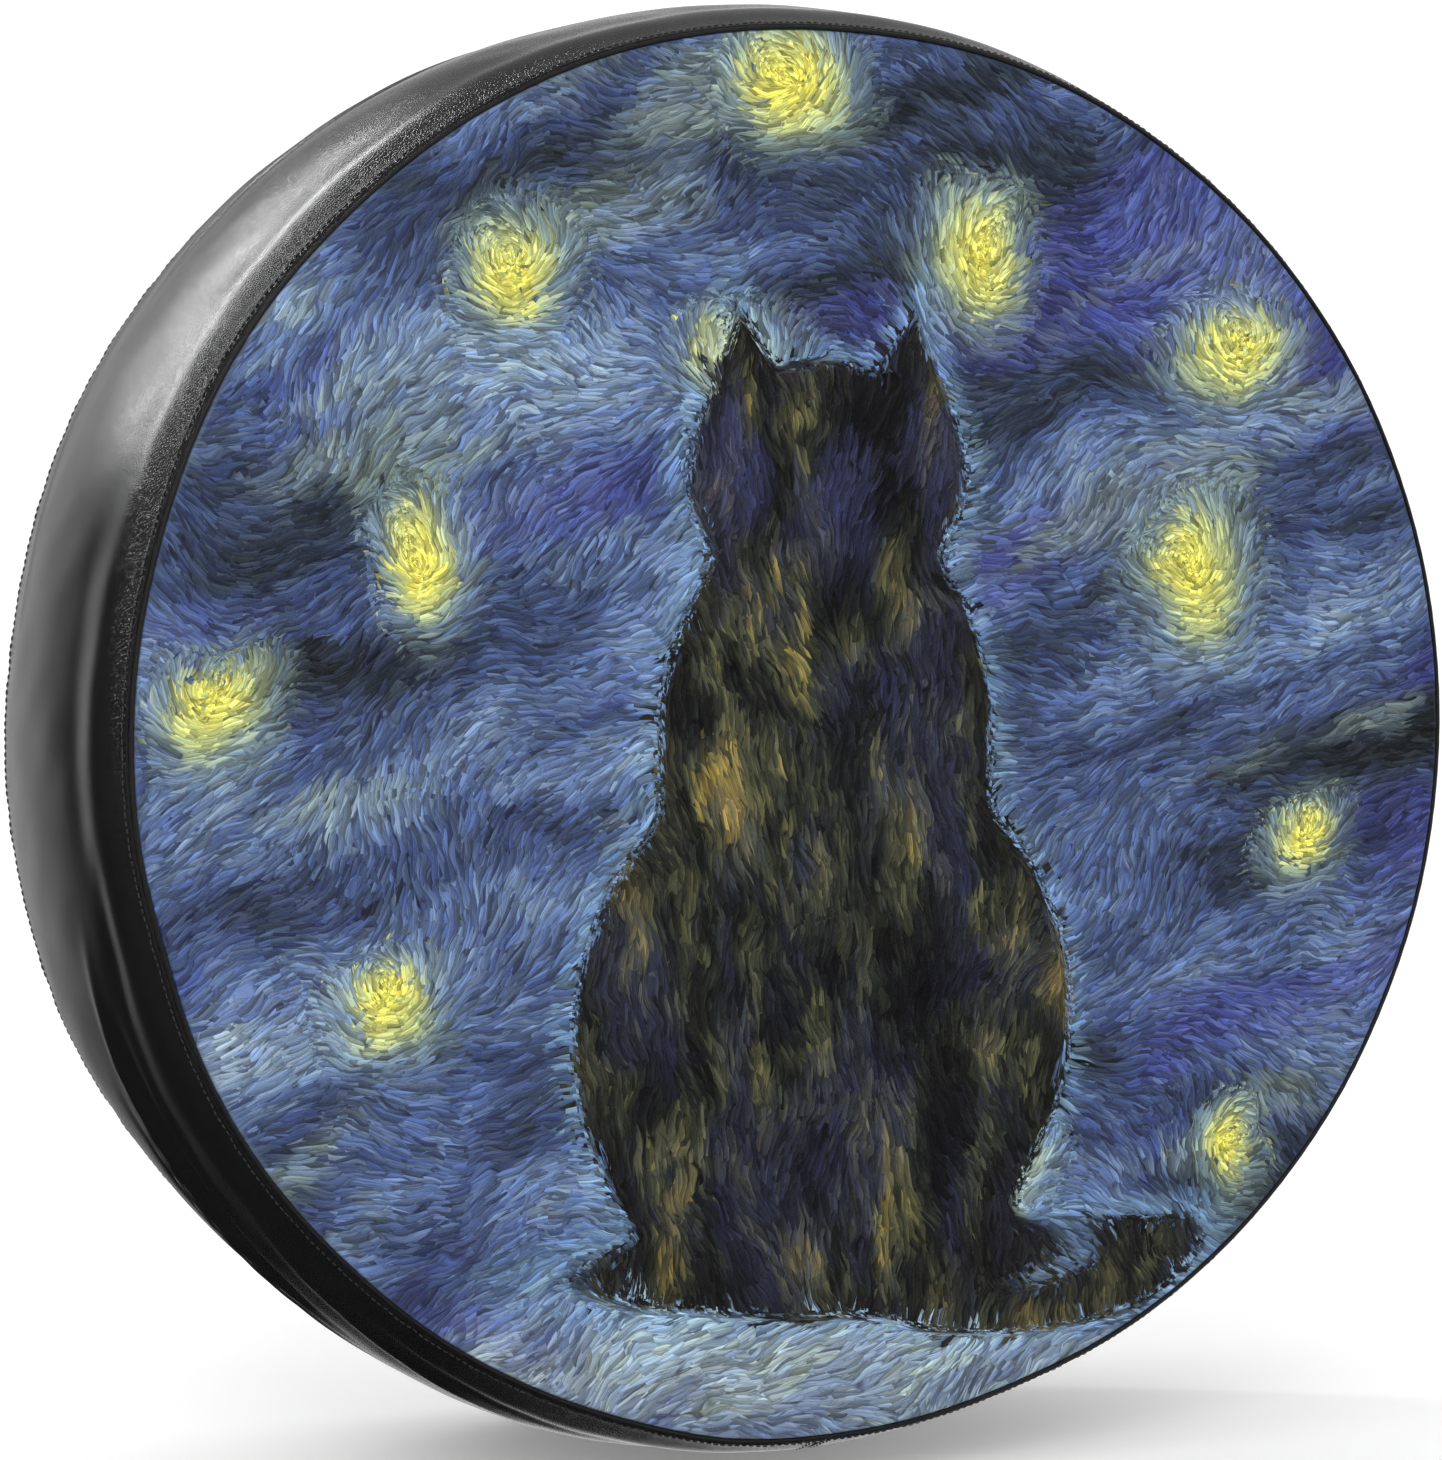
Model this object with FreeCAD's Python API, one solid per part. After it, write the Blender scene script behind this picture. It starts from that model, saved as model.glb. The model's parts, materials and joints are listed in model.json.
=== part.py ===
"""Soft cover for a spare wheel: printed front panel, piping, side band, gathered rear skirt and elastic hem.

Millimetres. The wheel's axle is Y, the front panel faces -Y and +Z is up. The origin is the centre of the
cover's bounding box. Sections are drawn as (radius, y) and spun about Y.
"""
import FreeCAD, Part
import math
import os

# The tyre that the cover is cut for, and the cover's own overall size.
OVERALL_DEPTH = 240.0
CROWN_RADIUS = 373.0          # outside of the band over the middle of the tread
CROWN_Y = 20.0                # the widest circle sits behind the middle

# Sheet material.
LEATHER = 1.2                 # imitation leather with its cloth backing
SEAM_ALLOWANCE = 10.0
CLEARANCE = 0.1

# Front panel.
FRONT_Y = -OVERALL_DEPTH / 2
PANEL_RADIUS = 348.8
PANEL_FOLD = 1.8              # outer radius of the panel's turned rim

# Piping between the panel and the band.
PIPING_STRIP = 0.45
PIPING_CORD_RADIUS = 0.65
PIPING_RADIUS = PIPING_CORD_RADIUS + PIPING_STRIP
PIPING_FLANGE = 2 * PIPING_STRIP + CLEARANCE

# Side band and rear skirt.
BAND_FOLD_Y = -116.6          # where the band's front edge turns inward
BAND_REAR_Y = 85.0
SKIRT_TUCK = 8.0              # how far the skirt reaches forward under the band
SHOULDER_RADIUS = 38.0        # where the skirt turns over the tyre's back shoulder
REAR_Y = 118.4                # outside of the skirt's flat back
SKIRT_INNER_RADIUS = 262.0
CROSS_SEAM_GAP = 0.4          # between the two ends of a strip at its cross seam
CROSS_SEAM_ANGLE = -90.0      # at the bottom, in the XZ plane

# Cross seam tapes.
TAPE_WIDTH = 26.0
TAPE_THICKNESS = 0.8
TAPE_END_GAP = 3.0

# Elastic hem round the mouth.
MOUTH_RADIUS = 248.0
CASING_WALL = 0.8
TUNNEL_HEIGHT = 3.2
TUNNEL_WIDTH = 11.5
TUNNEL_RAMP = 3.0             # where the tunnel closes down onto the skirt's edge
LEG_LENGTH = 8.0
CASING_CORNER = 0.7
ELASTIC_WIDTH = 9.0
ELASTIC_THICKNESS = 0.9
ELASTIC_LAP = 30.0

# Four eyelets for a tie rope, with their washers and patches.
GROMMET_COUNT = 4
GROMMET_CIRCLE_RADIUS = 290.0
GROMMET_FIRST_ANGLE = 45.0
GROMMET_BORE_RADIUS = 5.0
GROMMET_WALL = 0.6
GROMMET_FLANGE_RADIUS = 10.0
GROMMET_FLANGE_HEIGHT = 1.0
WASHER_HEIGHT = 0.8
CURL_RADIUS = 7.0
PATCH_RADIUS = 18.0

# Sewing thread and the rows that it lies in.
THREAD_RADIUS = 0.3
FRONT_SEAM_Y = -113.0
FRONT_TOPSTITCH_Y = -114.4
REAR_SEAM_ROWS_Y = (78.5, 82.0)
CROSS_ROW_OFFSET = 4.0        # from the cross seam to the row each side of it
CROSS_ROW_END_GAP = 4.0
HEM_ROW_RADIUS = 267.0
PATCH_ROW_RADIUS = 15.0
LAP_BAR_SPACING = 8.0

ORIGIN = FreeCAD.Vector(0, 0, 0)
WHEEL_AXIS = FreeCAD.Vector(0, 1, 0)

# The band's inside is one arc from its front fold to the crown and on to the back shoulder.
BAND_FOLD_RADIUS = PANEL_RADIUS + PIPING_FLANGE + LEATHER
CROWN_INNER_RADIUS = CROWN_RADIUS - LEATHER
BULGE = CROWN_INNER_RADIUS - BAND_FOLD_RADIUS
BARREL_RADIUS = (BULGE ** 2 + (CROWN_Y - BAND_FOLD_Y) ** 2) / (2 * BULGE)
BARREL_CENTRE = FreeCAD.Vector(CROWN_INNER_RADIUS - BARREL_RADIUS, CROWN_Y, 0)

# The back shoulder is an arc tangent to that one and to the flat back.
SHOULDER_Y = REAR_Y - SHOULDER_RADIUS
SHOULDER_CENTRE = FreeCAD.Vector(
    BARREL_CENTRE.x + math.sqrt((BARREL_RADIUS - SHOULDER_RADIUS) ** 2 - (SHOULDER_Y - CROWN_Y) ** 2),
    SHOULDER_Y,
    0,
)
SHOULDER_ANGLE = math.degrees(
    math.atan2(SHOULDER_Y - CROWN_Y, SHOULDER_CENTRE.x - BARREL_CENTRE.x)
)


def point(radius, y):
    """A point of a section."""
    return FreeCAD.Vector(radius, y, 0)


def polar(centre, radius, angle):
    """The point of a section at an angle in degrees from the outward direction towards +Y."""
    turn = math.radians(angle)
    return centre + FreeCAD.Vector(radius * math.cos(turn), radius * math.sin(turn), 0)


def arc(centre, radius, start, end):
    """An arc edge of a section, from one angle to another."""
    middle = (start + end) / 2
    ends = [polar(centre, radius, angle) for angle in (start, middle, end)]
    return Part.Arc(*ends).toShape()


def run(*points):
    """Straight edges through the given points."""
    return [Part.LineSegment(a, b).toShape() for a, b in zip(points, points[1:])]


def spin(edges, start=0.0, sweep=360.0):
    """The solid that a closed section makes when it is spun about the wheel's axle."""
    face = Part.Face(Part.Wire(edges))
    face.rotate(ORIGIN, WHEEL_AXIS, -start)
    return face.revolve(ORIGIN, WHEEL_AXIS, -sweep)


def barrel_angle(radius, y):
    """The angle at which a circle about the barrel's centre reaches the given y."""
    return math.degrees(math.asin((y - CROWN_Y) / radius))


def barrel_point(radius, y):
    """The point at the given y of a circle about the barrel's centre."""
    return polar(BARREL_CENTRE, radius, barrel_angle(radius, y))


def barrel_strip(inner, thickness, front_y, back_y):
    """The section of a strip that follows the barrel, with ends square to it."""
    outer = inner + thickness
    front = barrel_angle(inner, front_y)
    back = barrel_angle(inner, back_y)
    corners = {
        (radius, angle): polar(BARREL_CENTRE, radius, angle)
        for radius in (inner, outer)
        for angle in (front, back)
    }
    return [
        arc(BARREL_CENTRE, outer, front, back),
        *run(corners[outer, back], corners[inner, back]),
        arc(BARREL_CENTRE, inner, back, front),
        *run(corners[inner, front], corners[outer, front]),
    ]


def cross_seam_sweep(radius):
    """Start and sweep in degrees that leave the cross seam's gap open at a radius."""
    gap = math.degrees(CROSS_SEAM_GAP / radius)
    return CROSS_SEAM_ANGLE + gap / 2, 360.0 - gap


def centred_sweep(width, radius):
    """Start and sweep in degrees of a piece of the given width laid across the cross seam."""
    sweep = math.degrees(width / radius)
    return CROSS_SEAM_ANGLE - sweep / 2, sweep


def turned_about_axle(shape, angle):
    """A copy of a shape turned about the wheel's axle, by an angle from +X towards +Z."""
    copy = shape.copy()
    copy.rotate(ORIGIN, WHEEL_AXIS, -angle)
    return copy


def front_panel():
    inner_fold = PANEL_FOLD - LEATHER
    fold = point(PANEL_RADIUS - PANEL_FOLD, FRONT_Y + PANEL_FOLD)
    lip_end = BAND_FOLD_Y + SEAM_ALLOWANCE
    return spin([
        *run(point(0, FRONT_Y), polar(fold, PANEL_FOLD, -90)),
        arc(fold, PANEL_FOLD, -90, 0),
        *run(
            polar(fold, PANEL_FOLD, 0),
            point(PANEL_RADIUS, lip_end),
            point(PANEL_RADIUS - LEATHER, lip_end),
            polar(fold, inner_fold, 0),
        ),
        arc(fold, inner_fold, 0, -90),
        *run(polar(fold, inner_fold, -90), point(0, FRONT_Y + LEATHER), point(0, FRONT_Y)),
    ])


def piping_centre():
    return point(PANEL_RADIUS + PIPING_RADIUS, FRONT_Y + PIPING_RADIUS)


def piping_sleeve():
    """A strip folded round the cord, with its two legs side by side in the seam."""
    centre = piping_centre()
    outer_leg = PANEL_RADIUS + PIPING_FLANGE
    slit = outer_leg - PIPING_STRIP
    leg_end = BAND_FOLD_Y + SEAM_ALLOWANCE
    outer_start = math.degrees(math.acos((outer_leg - centre.x) / PIPING_RADIUS))
    inner_start = math.degrees(math.acos((slit - centre.x) / PIPING_CORD_RADIUS))
    return spin([
        arc(centre, PIPING_RADIUS, -180, outer_start),
        *run(
            polar(centre, PIPING_RADIUS, outer_start),
            point(outer_leg, leg_end),
            point(slit, leg_end),
            polar(centre, PIPING_CORD_RADIUS, inner_start),
        ),
        arc(centre, PIPING_CORD_RADIUS, inner_start, -180),
        *run(
            polar(centre, PIPING_CORD_RADIUS, -180),
            point(PANEL_RADIUS + PIPING_STRIP, leg_end),
            point(PANEL_RADIUS, leg_end),
            polar(centre, PIPING_RADIUS, -180),
        ),
    ])


def ring(centre, radius):
    """A round cord or thread that runs all the way round at a point of the section."""
    return Part.makeTorus(centre.x, radius, FreeCAD.Vector(0, centre.y, 0), WHEEL_AXIS)


def side_band():
    """The strip round the tread, its front edge folded back inside as the seam allowance."""
    fold = point(BAND_FOLD_RADIUS, BAND_FOLD_Y)
    outer = BARREL_RADIUS + LEATHER
    front = barrel_angle(BARREL_RADIUS, BAND_FOLD_Y)
    back = barrel_angle(BARREL_RADIUS, BAND_REAR_Y)
    lip_end = BAND_FOLD_Y + SEAM_ALLOWANCE
    section = [
        arc(BARREL_CENTRE, outer, front, back),
        *run(polar(BARREL_CENTRE, outer, back), polar(BARREL_CENTRE, BARREL_RADIUS, back)),
        arc(BARREL_CENTRE, BARREL_RADIUS, back, front),
        *run(
            fold,
            point(BAND_FOLD_RADIUS, lip_end),
            point(BAND_FOLD_RADIUS - LEATHER, lip_end),
            polar(fold, LEATHER, 180),
        ),
        arc(fold, LEATHER, -180, front),
    ]
    return spin(section, *cross_seam_sweep(CROWN_RADIUS))


def rear_skirt():
    """The strip that starts under the band, turns over the back shoulder and lies flat behind the tyre."""
    outer = BARREL_RADIUS
    inner = BARREL_RADIUS - LEATHER
    tuck = barrel_angle(outer, BAND_REAR_Y - SKIRT_TUCK)
    section = [
        arc(BARREL_CENTRE, outer, tuck, SHOULDER_ANGLE),
        arc(SHOULDER_CENTRE, SHOULDER_RADIUS, SHOULDER_ANGLE, 90),
        *run(
            polar(SHOULDER_CENTRE, SHOULDER_RADIUS, 90),
            point(SKIRT_INNER_RADIUS, REAR_Y),
            point(SKIRT_INNER_RADIUS, REAR_Y - LEATHER),
            polar(SHOULDER_CENTRE, SHOULDER_RADIUS - LEATHER, 90),
        ),
        arc(SHOULDER_CENTRE, SHOULDER_RADIUS - LEATHER, 90, SHOULDER_ANGLE),
        arc(BARREL_CENTRE, inner, SHOULDER_ANGLE, tuck),
        *run(polar(BARREL_CENTRE, inner, tuck), polar(BARREL_CENTRE, outer, tuck)),
    ]
    skirt = spin(section, *cross_seam_sweep(CROWN_RADIUS))
    hole_radius = GROMMET_BORE_RADIUS + GROMMET_WALL
    return skirt.cut([eyelet_cylinder(hole_radius, angle) for angle in grommet_angles()])


def band_seam_tape():
    """Tape on the inside of the band's cross seam, from the front allowance to the skirt's tuck."""
    start, sweep = centred_sweep(TAPE_WIDTH, CROWN_RADIUS)
    section = barrel_strip(
        BARREL_RADIUS - TAPE_THICKNESS,
        TAPE_THICKNESS,
        BAND_FOLD_Y + SEAM_ALLOWANCE + TAPE_END_GAP,
        BAND_REAR_Y - SKIRT_TUCK - TAPE_END_GAP,
    )
    return spin(section, start, sweep)


def skirt_seam_tape():
    """Tape on the inside of the skirt's cross seam, round the back shoulder and along the flat."""
    start, sweep = centred_sweep(TAPE_WIDTH, CROWN_RADIUS)
    outer = SHOULDER_RADIUS - LEATHER
    inner = outer - TAPE_THICKNESS
    inner_end = SKIRT_INNER_RADIUS + LEG_LENGTH + TAPE_END_GAP
    section = [
        arc(SHOULDER_CENTRE, outer, SHOULDER_ANGLE, 90),
        *run(
            polar(SHOULDER_CENTRE, outer, 90),
            point(inner_end, REAR_Y - LEATHER),
            point(inner_end, REAR_Y - LEATHER - TAPE_THICKNESS),
            polar(SHOULDER_CENTRE, inner, 90),
        ),
        arc(SHOULDER_CENTRE, inner, 90, SHOULDER_ANGLE),
        *run(
            polar(SHOULDER_CENTRE, inner, SHOULDER_ANGLE),
            polar(SHOULDER_CENTRE, outer, SHOULDER_ANGLE),
        ),
    ]
    return spin(section, start, sweep)


def tunnel_middle_y():
    """The hem's back face is the rearmost face of the cover."""
    return OVERALL_DEPTH / 2 - CASING_WALL - TUNNEL_HEIGHT / 2


def hem_casing():
    """A strip folded into a tunnel, with two legs that hold the skirt's inner edge between them."""
    middle = tunnel_middle_y()
    half_outer = TUNNEL_HEIGHT / 2 + CASING_WALL
    tunnel_start = MOUTH_RADIUS + CASING_WALL
    tunnel_end = tunnel_start + TUNNEL_WIDTH - TUNNEL_RAMP
    leg_start = SKIRT_INNER_RADIUS
    leg_end = SKIRT_INNER_RADIUS + LEG_LENGTH
    skirt_back = REAR_Y
    skirt_front = REAR_Y - LEATHER
    back_corner = point(MOUTH_RADIUS + CASING_CORNER, middle + half_outer - CASING_CORNER)
    front_corner = point(MOUTH_RADIUS + CASING_CORNER, middle - half_outer + CASING_CORNER)
    return spin([
        *run(
            point(leg_end, skirt_back),
            point(leg_end, skirt_back + CASING_WALL),
            point(leg_start, skirt_back + CASING_WALL),
            point(tunnel_end, middle + half_outer),
            polar(back_corner, CASING_CORNER, 90),
        ),
        arc(back_corner, CASING_CORNER, 90, 180),
        *run(polar(back_corner, CASING_CORNER, 180), polar(front_corner, CASING_CORNER, 180)),
        arc(front_corner, CASING_CORNER, 180, 270),
        *run(
            polar(front_corner, CASING_CORNER, 270),
            point(tunnel_end, middle - half_outer),
            point(leg_start, skirt_front - CASING_WALL),
            point(leg_end, skirt_front - CASING_WALL),
            point(leg_end, skirt_front),
            point(leg_start, skirt_front),
            point(tunnel_end, middle - TUNNEL_HEIGHT / 2),
            point(tunnel_start, middle - TUNNEL_HEIGHT / 2),
            point(tunnel_start, middle + TUNNEL_HEIGHT / 2),
            point(tunnel_end, middle + TUNNEL_HEIGHT / 2),
            point(leg_start, skirt_back),
            point(leg_end, skirt_back),
        ),
    ])


def elastic_section(low_y):
    """The elastic's section: it lies flat in the tunnel, a little clear of the mouth's side."""
    start = MOUTH_RADIUS + CASING_WALL + CLEARANCE
    end = start + ELASTIC_WIDTH
    high_y = low_y + ELASTIC_THICKNESS
    corners = [point(start, low_y), point(end, low_y), point(end, high_y), point(start, high_y)]
    return run(*corners, corners[0])


def elastic_low_y():
    return tunnel_middle_y() - ELASTIC_THICKNESS


def hem_elastic():
    """One strip round the whole tunnel, its end lapped over its start and sewn."""
    strip = spin(elastic_section(elastic_low_y()))
    start, sweep = centred_sweep(ELASTIC_LAP, MOUTH_RADIUS)
    lapped_end = spin(elastic_section(tunnel_middle_y()), start, sweep)
    return strip.fuse(lapped_end).removeSplitter()


def elastic_lap_thread():
    """Two bars of stitches across the lapped ends, under the elastic's inner face."""
    length = ELASTIC_WIDTH - 4 * THREAD_RADIUS
    start = MOUTH_RADIUS + CASING_WALL + CLEARANCE + 2 * THREAD_RADIUS
    bars = []
    for side in (-1, 1):
        base = FreeCAD.Vector(side * LAP_BAR_SPACING / 2, elastic_low_y() - THREAD_RADIUS, -start)
        bars.append(Part.makeCylinder(THREAD_RADIUS, length, base, FreeCAD.Vector(0, 0, -1)))
    return Part.makeCompound(bars)


def grommet_angles():
    step = 360.0 / GROMMET_COUNT
    return [GROMMET_FIRST_ANGLE + step * index for index in range(GROMMET_COUNT)]


def eyelet_cylinder(radius, angle):
    """A cylinder through the back of the cover at one eyelet."""
    length = SHOULDER_RADIUS
    base = FreeCAD.Vector(GROMMET_CIRCLE_RADIUS, REAR_Y - length / 2, 0)
    return turned_about_axle(Part.makeCylinder(radius, length, base, WHEEL_AXIS), angle)


def eyelet_spin(edges, angle):
    """The solid that a section about an eyelet's own axis makes, placed at that eyelet."""
    solid = Part.Face(Part.Wire(edges)).revolve(ORIGIN, WHEEL_AXIS, 360)
    solid.translate(FreeCAD.Vector(GROMMET_CIRCLE_RADIUS, 0, 0))
    return turned_about_axle(solid, angle)


def eyelet_flat_ring(inner, outer, low_y, high_y, angle):
    """A plain flat ring round one eyelet."""
    corners = [point(inner, low_y), point(outer, low_y), point(outer, high_y), point(inner, high_y)]
    return eyelet_spin(run(*corners, corners[0]), angle)


def patch_front_y():
    return REAR_Y - 2 * LEATHER


def washer_front_y():
    return patch_front_y() - WASHER_HEIGHT


def grommet_eyelet(angle):
    """A flange outside, a barrel through the layers and a curl over the washer inside."""
    bore = GROMMET_BORE_RADIUS
    barrel = bore + GROMMET_WALL
    curl_front = washer_front_y() - GROMMET_WALL
    flange_top = REAR_Y + GROMMET_FLANGE_HEIGHT
    rim = point(GROMMET_FLANGE_RADIUS - GROMMET_FLANGE_HEIGHT, REAR_Y)
    mouth = point(bore + GROMMET_WALL, flange_top - GROMMET_WALL)
    return eyelet_spin([
        *run(
            polar(mouth, GROMMET_WALL, 180),
            point(bore, curl_front),
            point(CURL_RADIUS, curl_front),
            point(CURL_RADIUS, washer_front_y()),
            point(barrel, washer_front_y()),
            point(barrel, REAR_Y),
            polar(rim, GROMMET_FLANGE_HEIGHT, 0),
        ),
        arc(rim, GROMMET_FLANGE_HEIGHT, 0, 90),
        *run(polar(rim, GROMMET_FLANGE_HEIGHT, 90), polar(mouth, GROMMET_WALL, 90)),
        arc(mouth, GROMMET_WALL, 90, 180),
    ], angle)


def grommet_washer(angle):
    inner = GROMMET_BORE_RADIUS + GROMMET_WALL
    return eyelet_flat_ring(inner, GROMMET_FLANGE_RADIUS, washer_front_y(), patch_front_y(), angle)


def grommet_patch(angle):
    inner = GROMMET_BORE_RADIUS + GROMMET_WALL
    return eyelet_flat_ring(inner, PATCH_RADIUS, patch_front_y(), REAR_Y - LEATHER, angle)


def grommet_patch_thread():
    """A ring of stitches round each eyelet, on the outside of the skirt."""
    base = FreeCAD.Vector(GROMMET_CIRCLE_RADIUS, REAR_Y + THREAD_RADIUS, 0)
    row = Part.makeTorus(PATCH_ROW_RADIUS, THREAD_RADIUS, base, WHEEL_AXIS)
    return Part.makeCompound([turned_about_axle(row, angle) for angle in grommet_angles()])


def front_seam_thread():
    """The hidden seam through the three allowances, on the inside of the panel's lip."""
    return ring(point(PANEL_RADIUS - LEATHER - THREAD_RADIUS, FRONT_SEAM_Y), THREAD_RADIUS)


def front_topstitch_thread():
    return ring(barrel_point(BARREL_RADIUS + LEATHER + THREAD_RADIUS, FRONT_TOPSTITCH_Y), THREAD_RADIUS)


def rear_seam_thread():
    rows = [
        ring(barrel_point(BARREL_RADIUS + LEATHER + THREAD_RADIUS, y), THREAD_RADIUS)
        for y in REAR_SEAM_ROWS_Y
    ]
    return Part.makeCompound(rows)


def hem_thread():
    return ring(point(HEM_ROW_RADIUS, REAR_Y + CASING_WALL + THREAD_RADIUS), THREAD_RADIUS)


def thread_along(centre, radius, start, end):
    """A thread that follows an arc of the section, in the plane of the section."""
    along = polar(ORIGIN, 1, start + 90)
    disc = Part.Face(Part.Wire(Part.Circle(polar(centre, radius, start), along, THREAD_RADIUS).toShape()))
    return disc.revolve(centre, FreeCAD.Vector(0, 0, 1), end - start)


def band_seam_thread():
    """One row each side of the band's cross seam."""
    radius = BARREL_RADIUS + LEATHER + THREAD_RADIUS
    front = barrel_angle(radius, FRONT_TOPSTITCH_Y + CROSS_ROW_END_GAP)
    back = barrel_angle(radius, REAR_SEAM_ROWS_Y[0] - CROSS_ROW_END_GAP)
    row = thread_along(BARREL_CENTRE, radius, front, back)
    return both_sides_of_cross_seam(row)


def skirt_seam_thread():
    """One row each side of the skirt's cross seam, over the back shoulder."""
    radius = SHOULDER_RADIUS + THREAD_RADIUS
    row = thread_along(SHOULDER_CENTRE, radius, SHOULDER_ANGLE, 90)
    return both_sides_of_cross_seam(row)


def both_sides_of_cross_seam(row):
    offset = math.degrees(CROSS_ROW_OFFSET / CROWN_RADIUS)
    return Part.makeCompound([
        turned_about_axle(row, CROSS_SEAM_ANGLE + side * offset) for side in (-1, 1)
    ])


def main():
    nodes = {
        "front_panel": front_panel(),
        "piping_sleeve": piping_sleeve(),
        "piping_cord": ring(piping_centre(), PIPING_CORD_RADIUS),
        "side_band": side_band(),
        "band_seam_tape": band_seam_tape(),
        "rear_skirt": rear_skirt(),
        "skirt_seam_tape": skirt_seam_tape(),
        "hem_casing": hem_casing(),
        "hem_elastic": hem_elastic(),
        "elastic_lap_thread": elastic_lap_thread(),
        "front_seam_thread": front_seam_thread(),
        "front_topstitch_thread": front_topstitch_thread(),
        "band_seam_thread": band_seam_thread(),
        "rear_seam_thread": rear_seam_thread(),
        "skirt_seam_thread": skirt_seam_thread(),
        "hem_thread": hem_thread(),
        "grommet_patch_thread": grommet_patch_thread(),
    }
    for number, angle in enumerate(grommet_angles(), start=1):
        nodes[f"grommet_eyelet_{number}"] = grommet_eyelet(angle)
        nodes[f"grommet_washer_{number}"] = grommet_washer(angle)
        nodes[f"grommet_patch_{number}"] = grommet_patch(angle)

    os.makedirs("parts", exist_ok=True)
    for name, shape in nodes.items():
        shape.exportStep(f"parts/{name}.step")


main()
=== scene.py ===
"""Looks of a soft spare tire cover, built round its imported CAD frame.

Metres, in the CAD frame: the wheel's axle is Y, the printed panel faces -Y, +Z is up. Round pieces are made
from sections of (radius, y) rows, swept round the axle through an angle that runs from +X towards +Z.
"""
import json
import math

import bpy
import numpy as np
from mathutils import Matrix, Vector
from mathutils.bvhtree import BVHTree


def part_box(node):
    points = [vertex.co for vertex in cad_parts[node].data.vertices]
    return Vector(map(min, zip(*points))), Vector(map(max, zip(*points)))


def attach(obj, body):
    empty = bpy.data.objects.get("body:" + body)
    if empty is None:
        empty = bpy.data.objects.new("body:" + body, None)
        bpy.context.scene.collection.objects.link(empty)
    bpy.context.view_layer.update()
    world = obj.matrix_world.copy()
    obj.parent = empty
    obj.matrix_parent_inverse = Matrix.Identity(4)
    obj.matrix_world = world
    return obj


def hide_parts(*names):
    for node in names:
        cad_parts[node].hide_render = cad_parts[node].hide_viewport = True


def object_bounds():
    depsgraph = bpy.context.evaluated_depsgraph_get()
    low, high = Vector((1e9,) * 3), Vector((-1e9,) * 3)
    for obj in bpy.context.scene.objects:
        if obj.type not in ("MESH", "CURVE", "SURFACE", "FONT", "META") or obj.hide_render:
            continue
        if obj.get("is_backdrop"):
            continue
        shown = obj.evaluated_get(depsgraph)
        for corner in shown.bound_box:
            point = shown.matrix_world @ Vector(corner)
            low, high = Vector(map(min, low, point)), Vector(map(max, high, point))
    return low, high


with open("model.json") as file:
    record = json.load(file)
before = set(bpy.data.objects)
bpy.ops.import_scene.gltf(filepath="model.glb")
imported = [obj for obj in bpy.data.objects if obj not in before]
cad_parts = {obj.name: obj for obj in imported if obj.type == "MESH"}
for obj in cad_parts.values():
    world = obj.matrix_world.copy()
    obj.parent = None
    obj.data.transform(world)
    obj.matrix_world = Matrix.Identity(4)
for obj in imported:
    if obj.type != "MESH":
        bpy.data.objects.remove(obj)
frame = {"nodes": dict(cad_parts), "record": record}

cad_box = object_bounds()
MM = 0.001
TURN = 2 * math.pi
RECORD = frame["record"]
MOUNTS = {mount["name"]: mount for mount in RECORD["mounts"]}

# ---- Sizes read from the frame -----------------------------------------------------------------------------
PANEL_LOW, PANEL_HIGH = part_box("front_panel")
PIPING_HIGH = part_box("piping_sleeve")[1]
BAND_LOW, BAND_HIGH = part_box("side_band")
SKIRT_LOW, SKIRT_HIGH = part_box("rear_skirt")
FRONT_Y = PANEL_LOW.y
PANEL_RADIUS = PANEL_HIGH.x
LIP_END_Y = PANEL_HIGH.y
CROWN_RADIUS = BAND_HIGH.x
BAND_REAR_Y = BAND_HIGH.y
TUCK_Y = SKIRT_LOW.y
BACK_Y = SKIRT_HIGH.y
MOUTH_RADIUS = MOUNTS["rear_mouth"]["dims"]["r_mm"] * MM
EYELET_CIRCLE = MOUNTS["tie_grommets"]["dims"]["pcd_mm"] * MM / 2

# ---- Sizes that the boxes don't give -----------------------------------------------------------------------
LEATHER = 1.2 * MM
CROWN_Y = 20 * MM
SHOULDER_RADIUS = 38 * MM
SKIRT_EDGE_RADIUS = 262 * MM
FOLD_RADIUS = 1.8 * MM
PIPING_FLANGE = 1.0 * MM
PIPING_RADIUS = (PIPING_HIGH.x - PANEL_RADIUS) / 2
UNROLL_RADIUS = 360 * MM                # turns an angle into a length, for grain and weave
CROSS_SEAM = -TURN / 4                  # the cross seams are at the bottom

# The barrel arc of the band's inside, through its front fold and its crown.
FOLD_Y = BAND_LOW.y + LEATHER
FOLD_R = PANEL_RADIUS + PIPING_FLANGE + LEATHER
BULGE = CROWN_RADIUS - LEATHER - FOLD_R
BARREL_RADIUS = (BULGE ** 2 + (CROWN_Y - FOLD_Y) ** 2) / (2 * BULGE)
BARREL_R = CROWN_RADIUS - LEATHER - BARREL_RADIUS
SHOULDER_Y = BACK_Y - SHOULDER_RADIUS
SHOULDER_R = BARREL_R + math.sqrt((BARREL_RADIUS - SHOULDER_RADIUS) ** 2 - (SHOULDER_Y - CROWN_Y) ** 2)
SHOULDER_START = math.atan2(SHOULDER_Y - CROWN_Y, SHOULDER_R - BARREL_R)


# ---- Small tools -------------------------------------------------------------------------------------------
def smoothstep(low, high, value):
    t = np.clip((value - low) / (high - low), 0, 1)
    return t * t * (3 - 2 * t)


def angle_between(angle, centre):
    """The signed angle from centre to angle, the short way round."""
    return (angle - centre + math.pi) % TURN - math.pi


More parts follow.
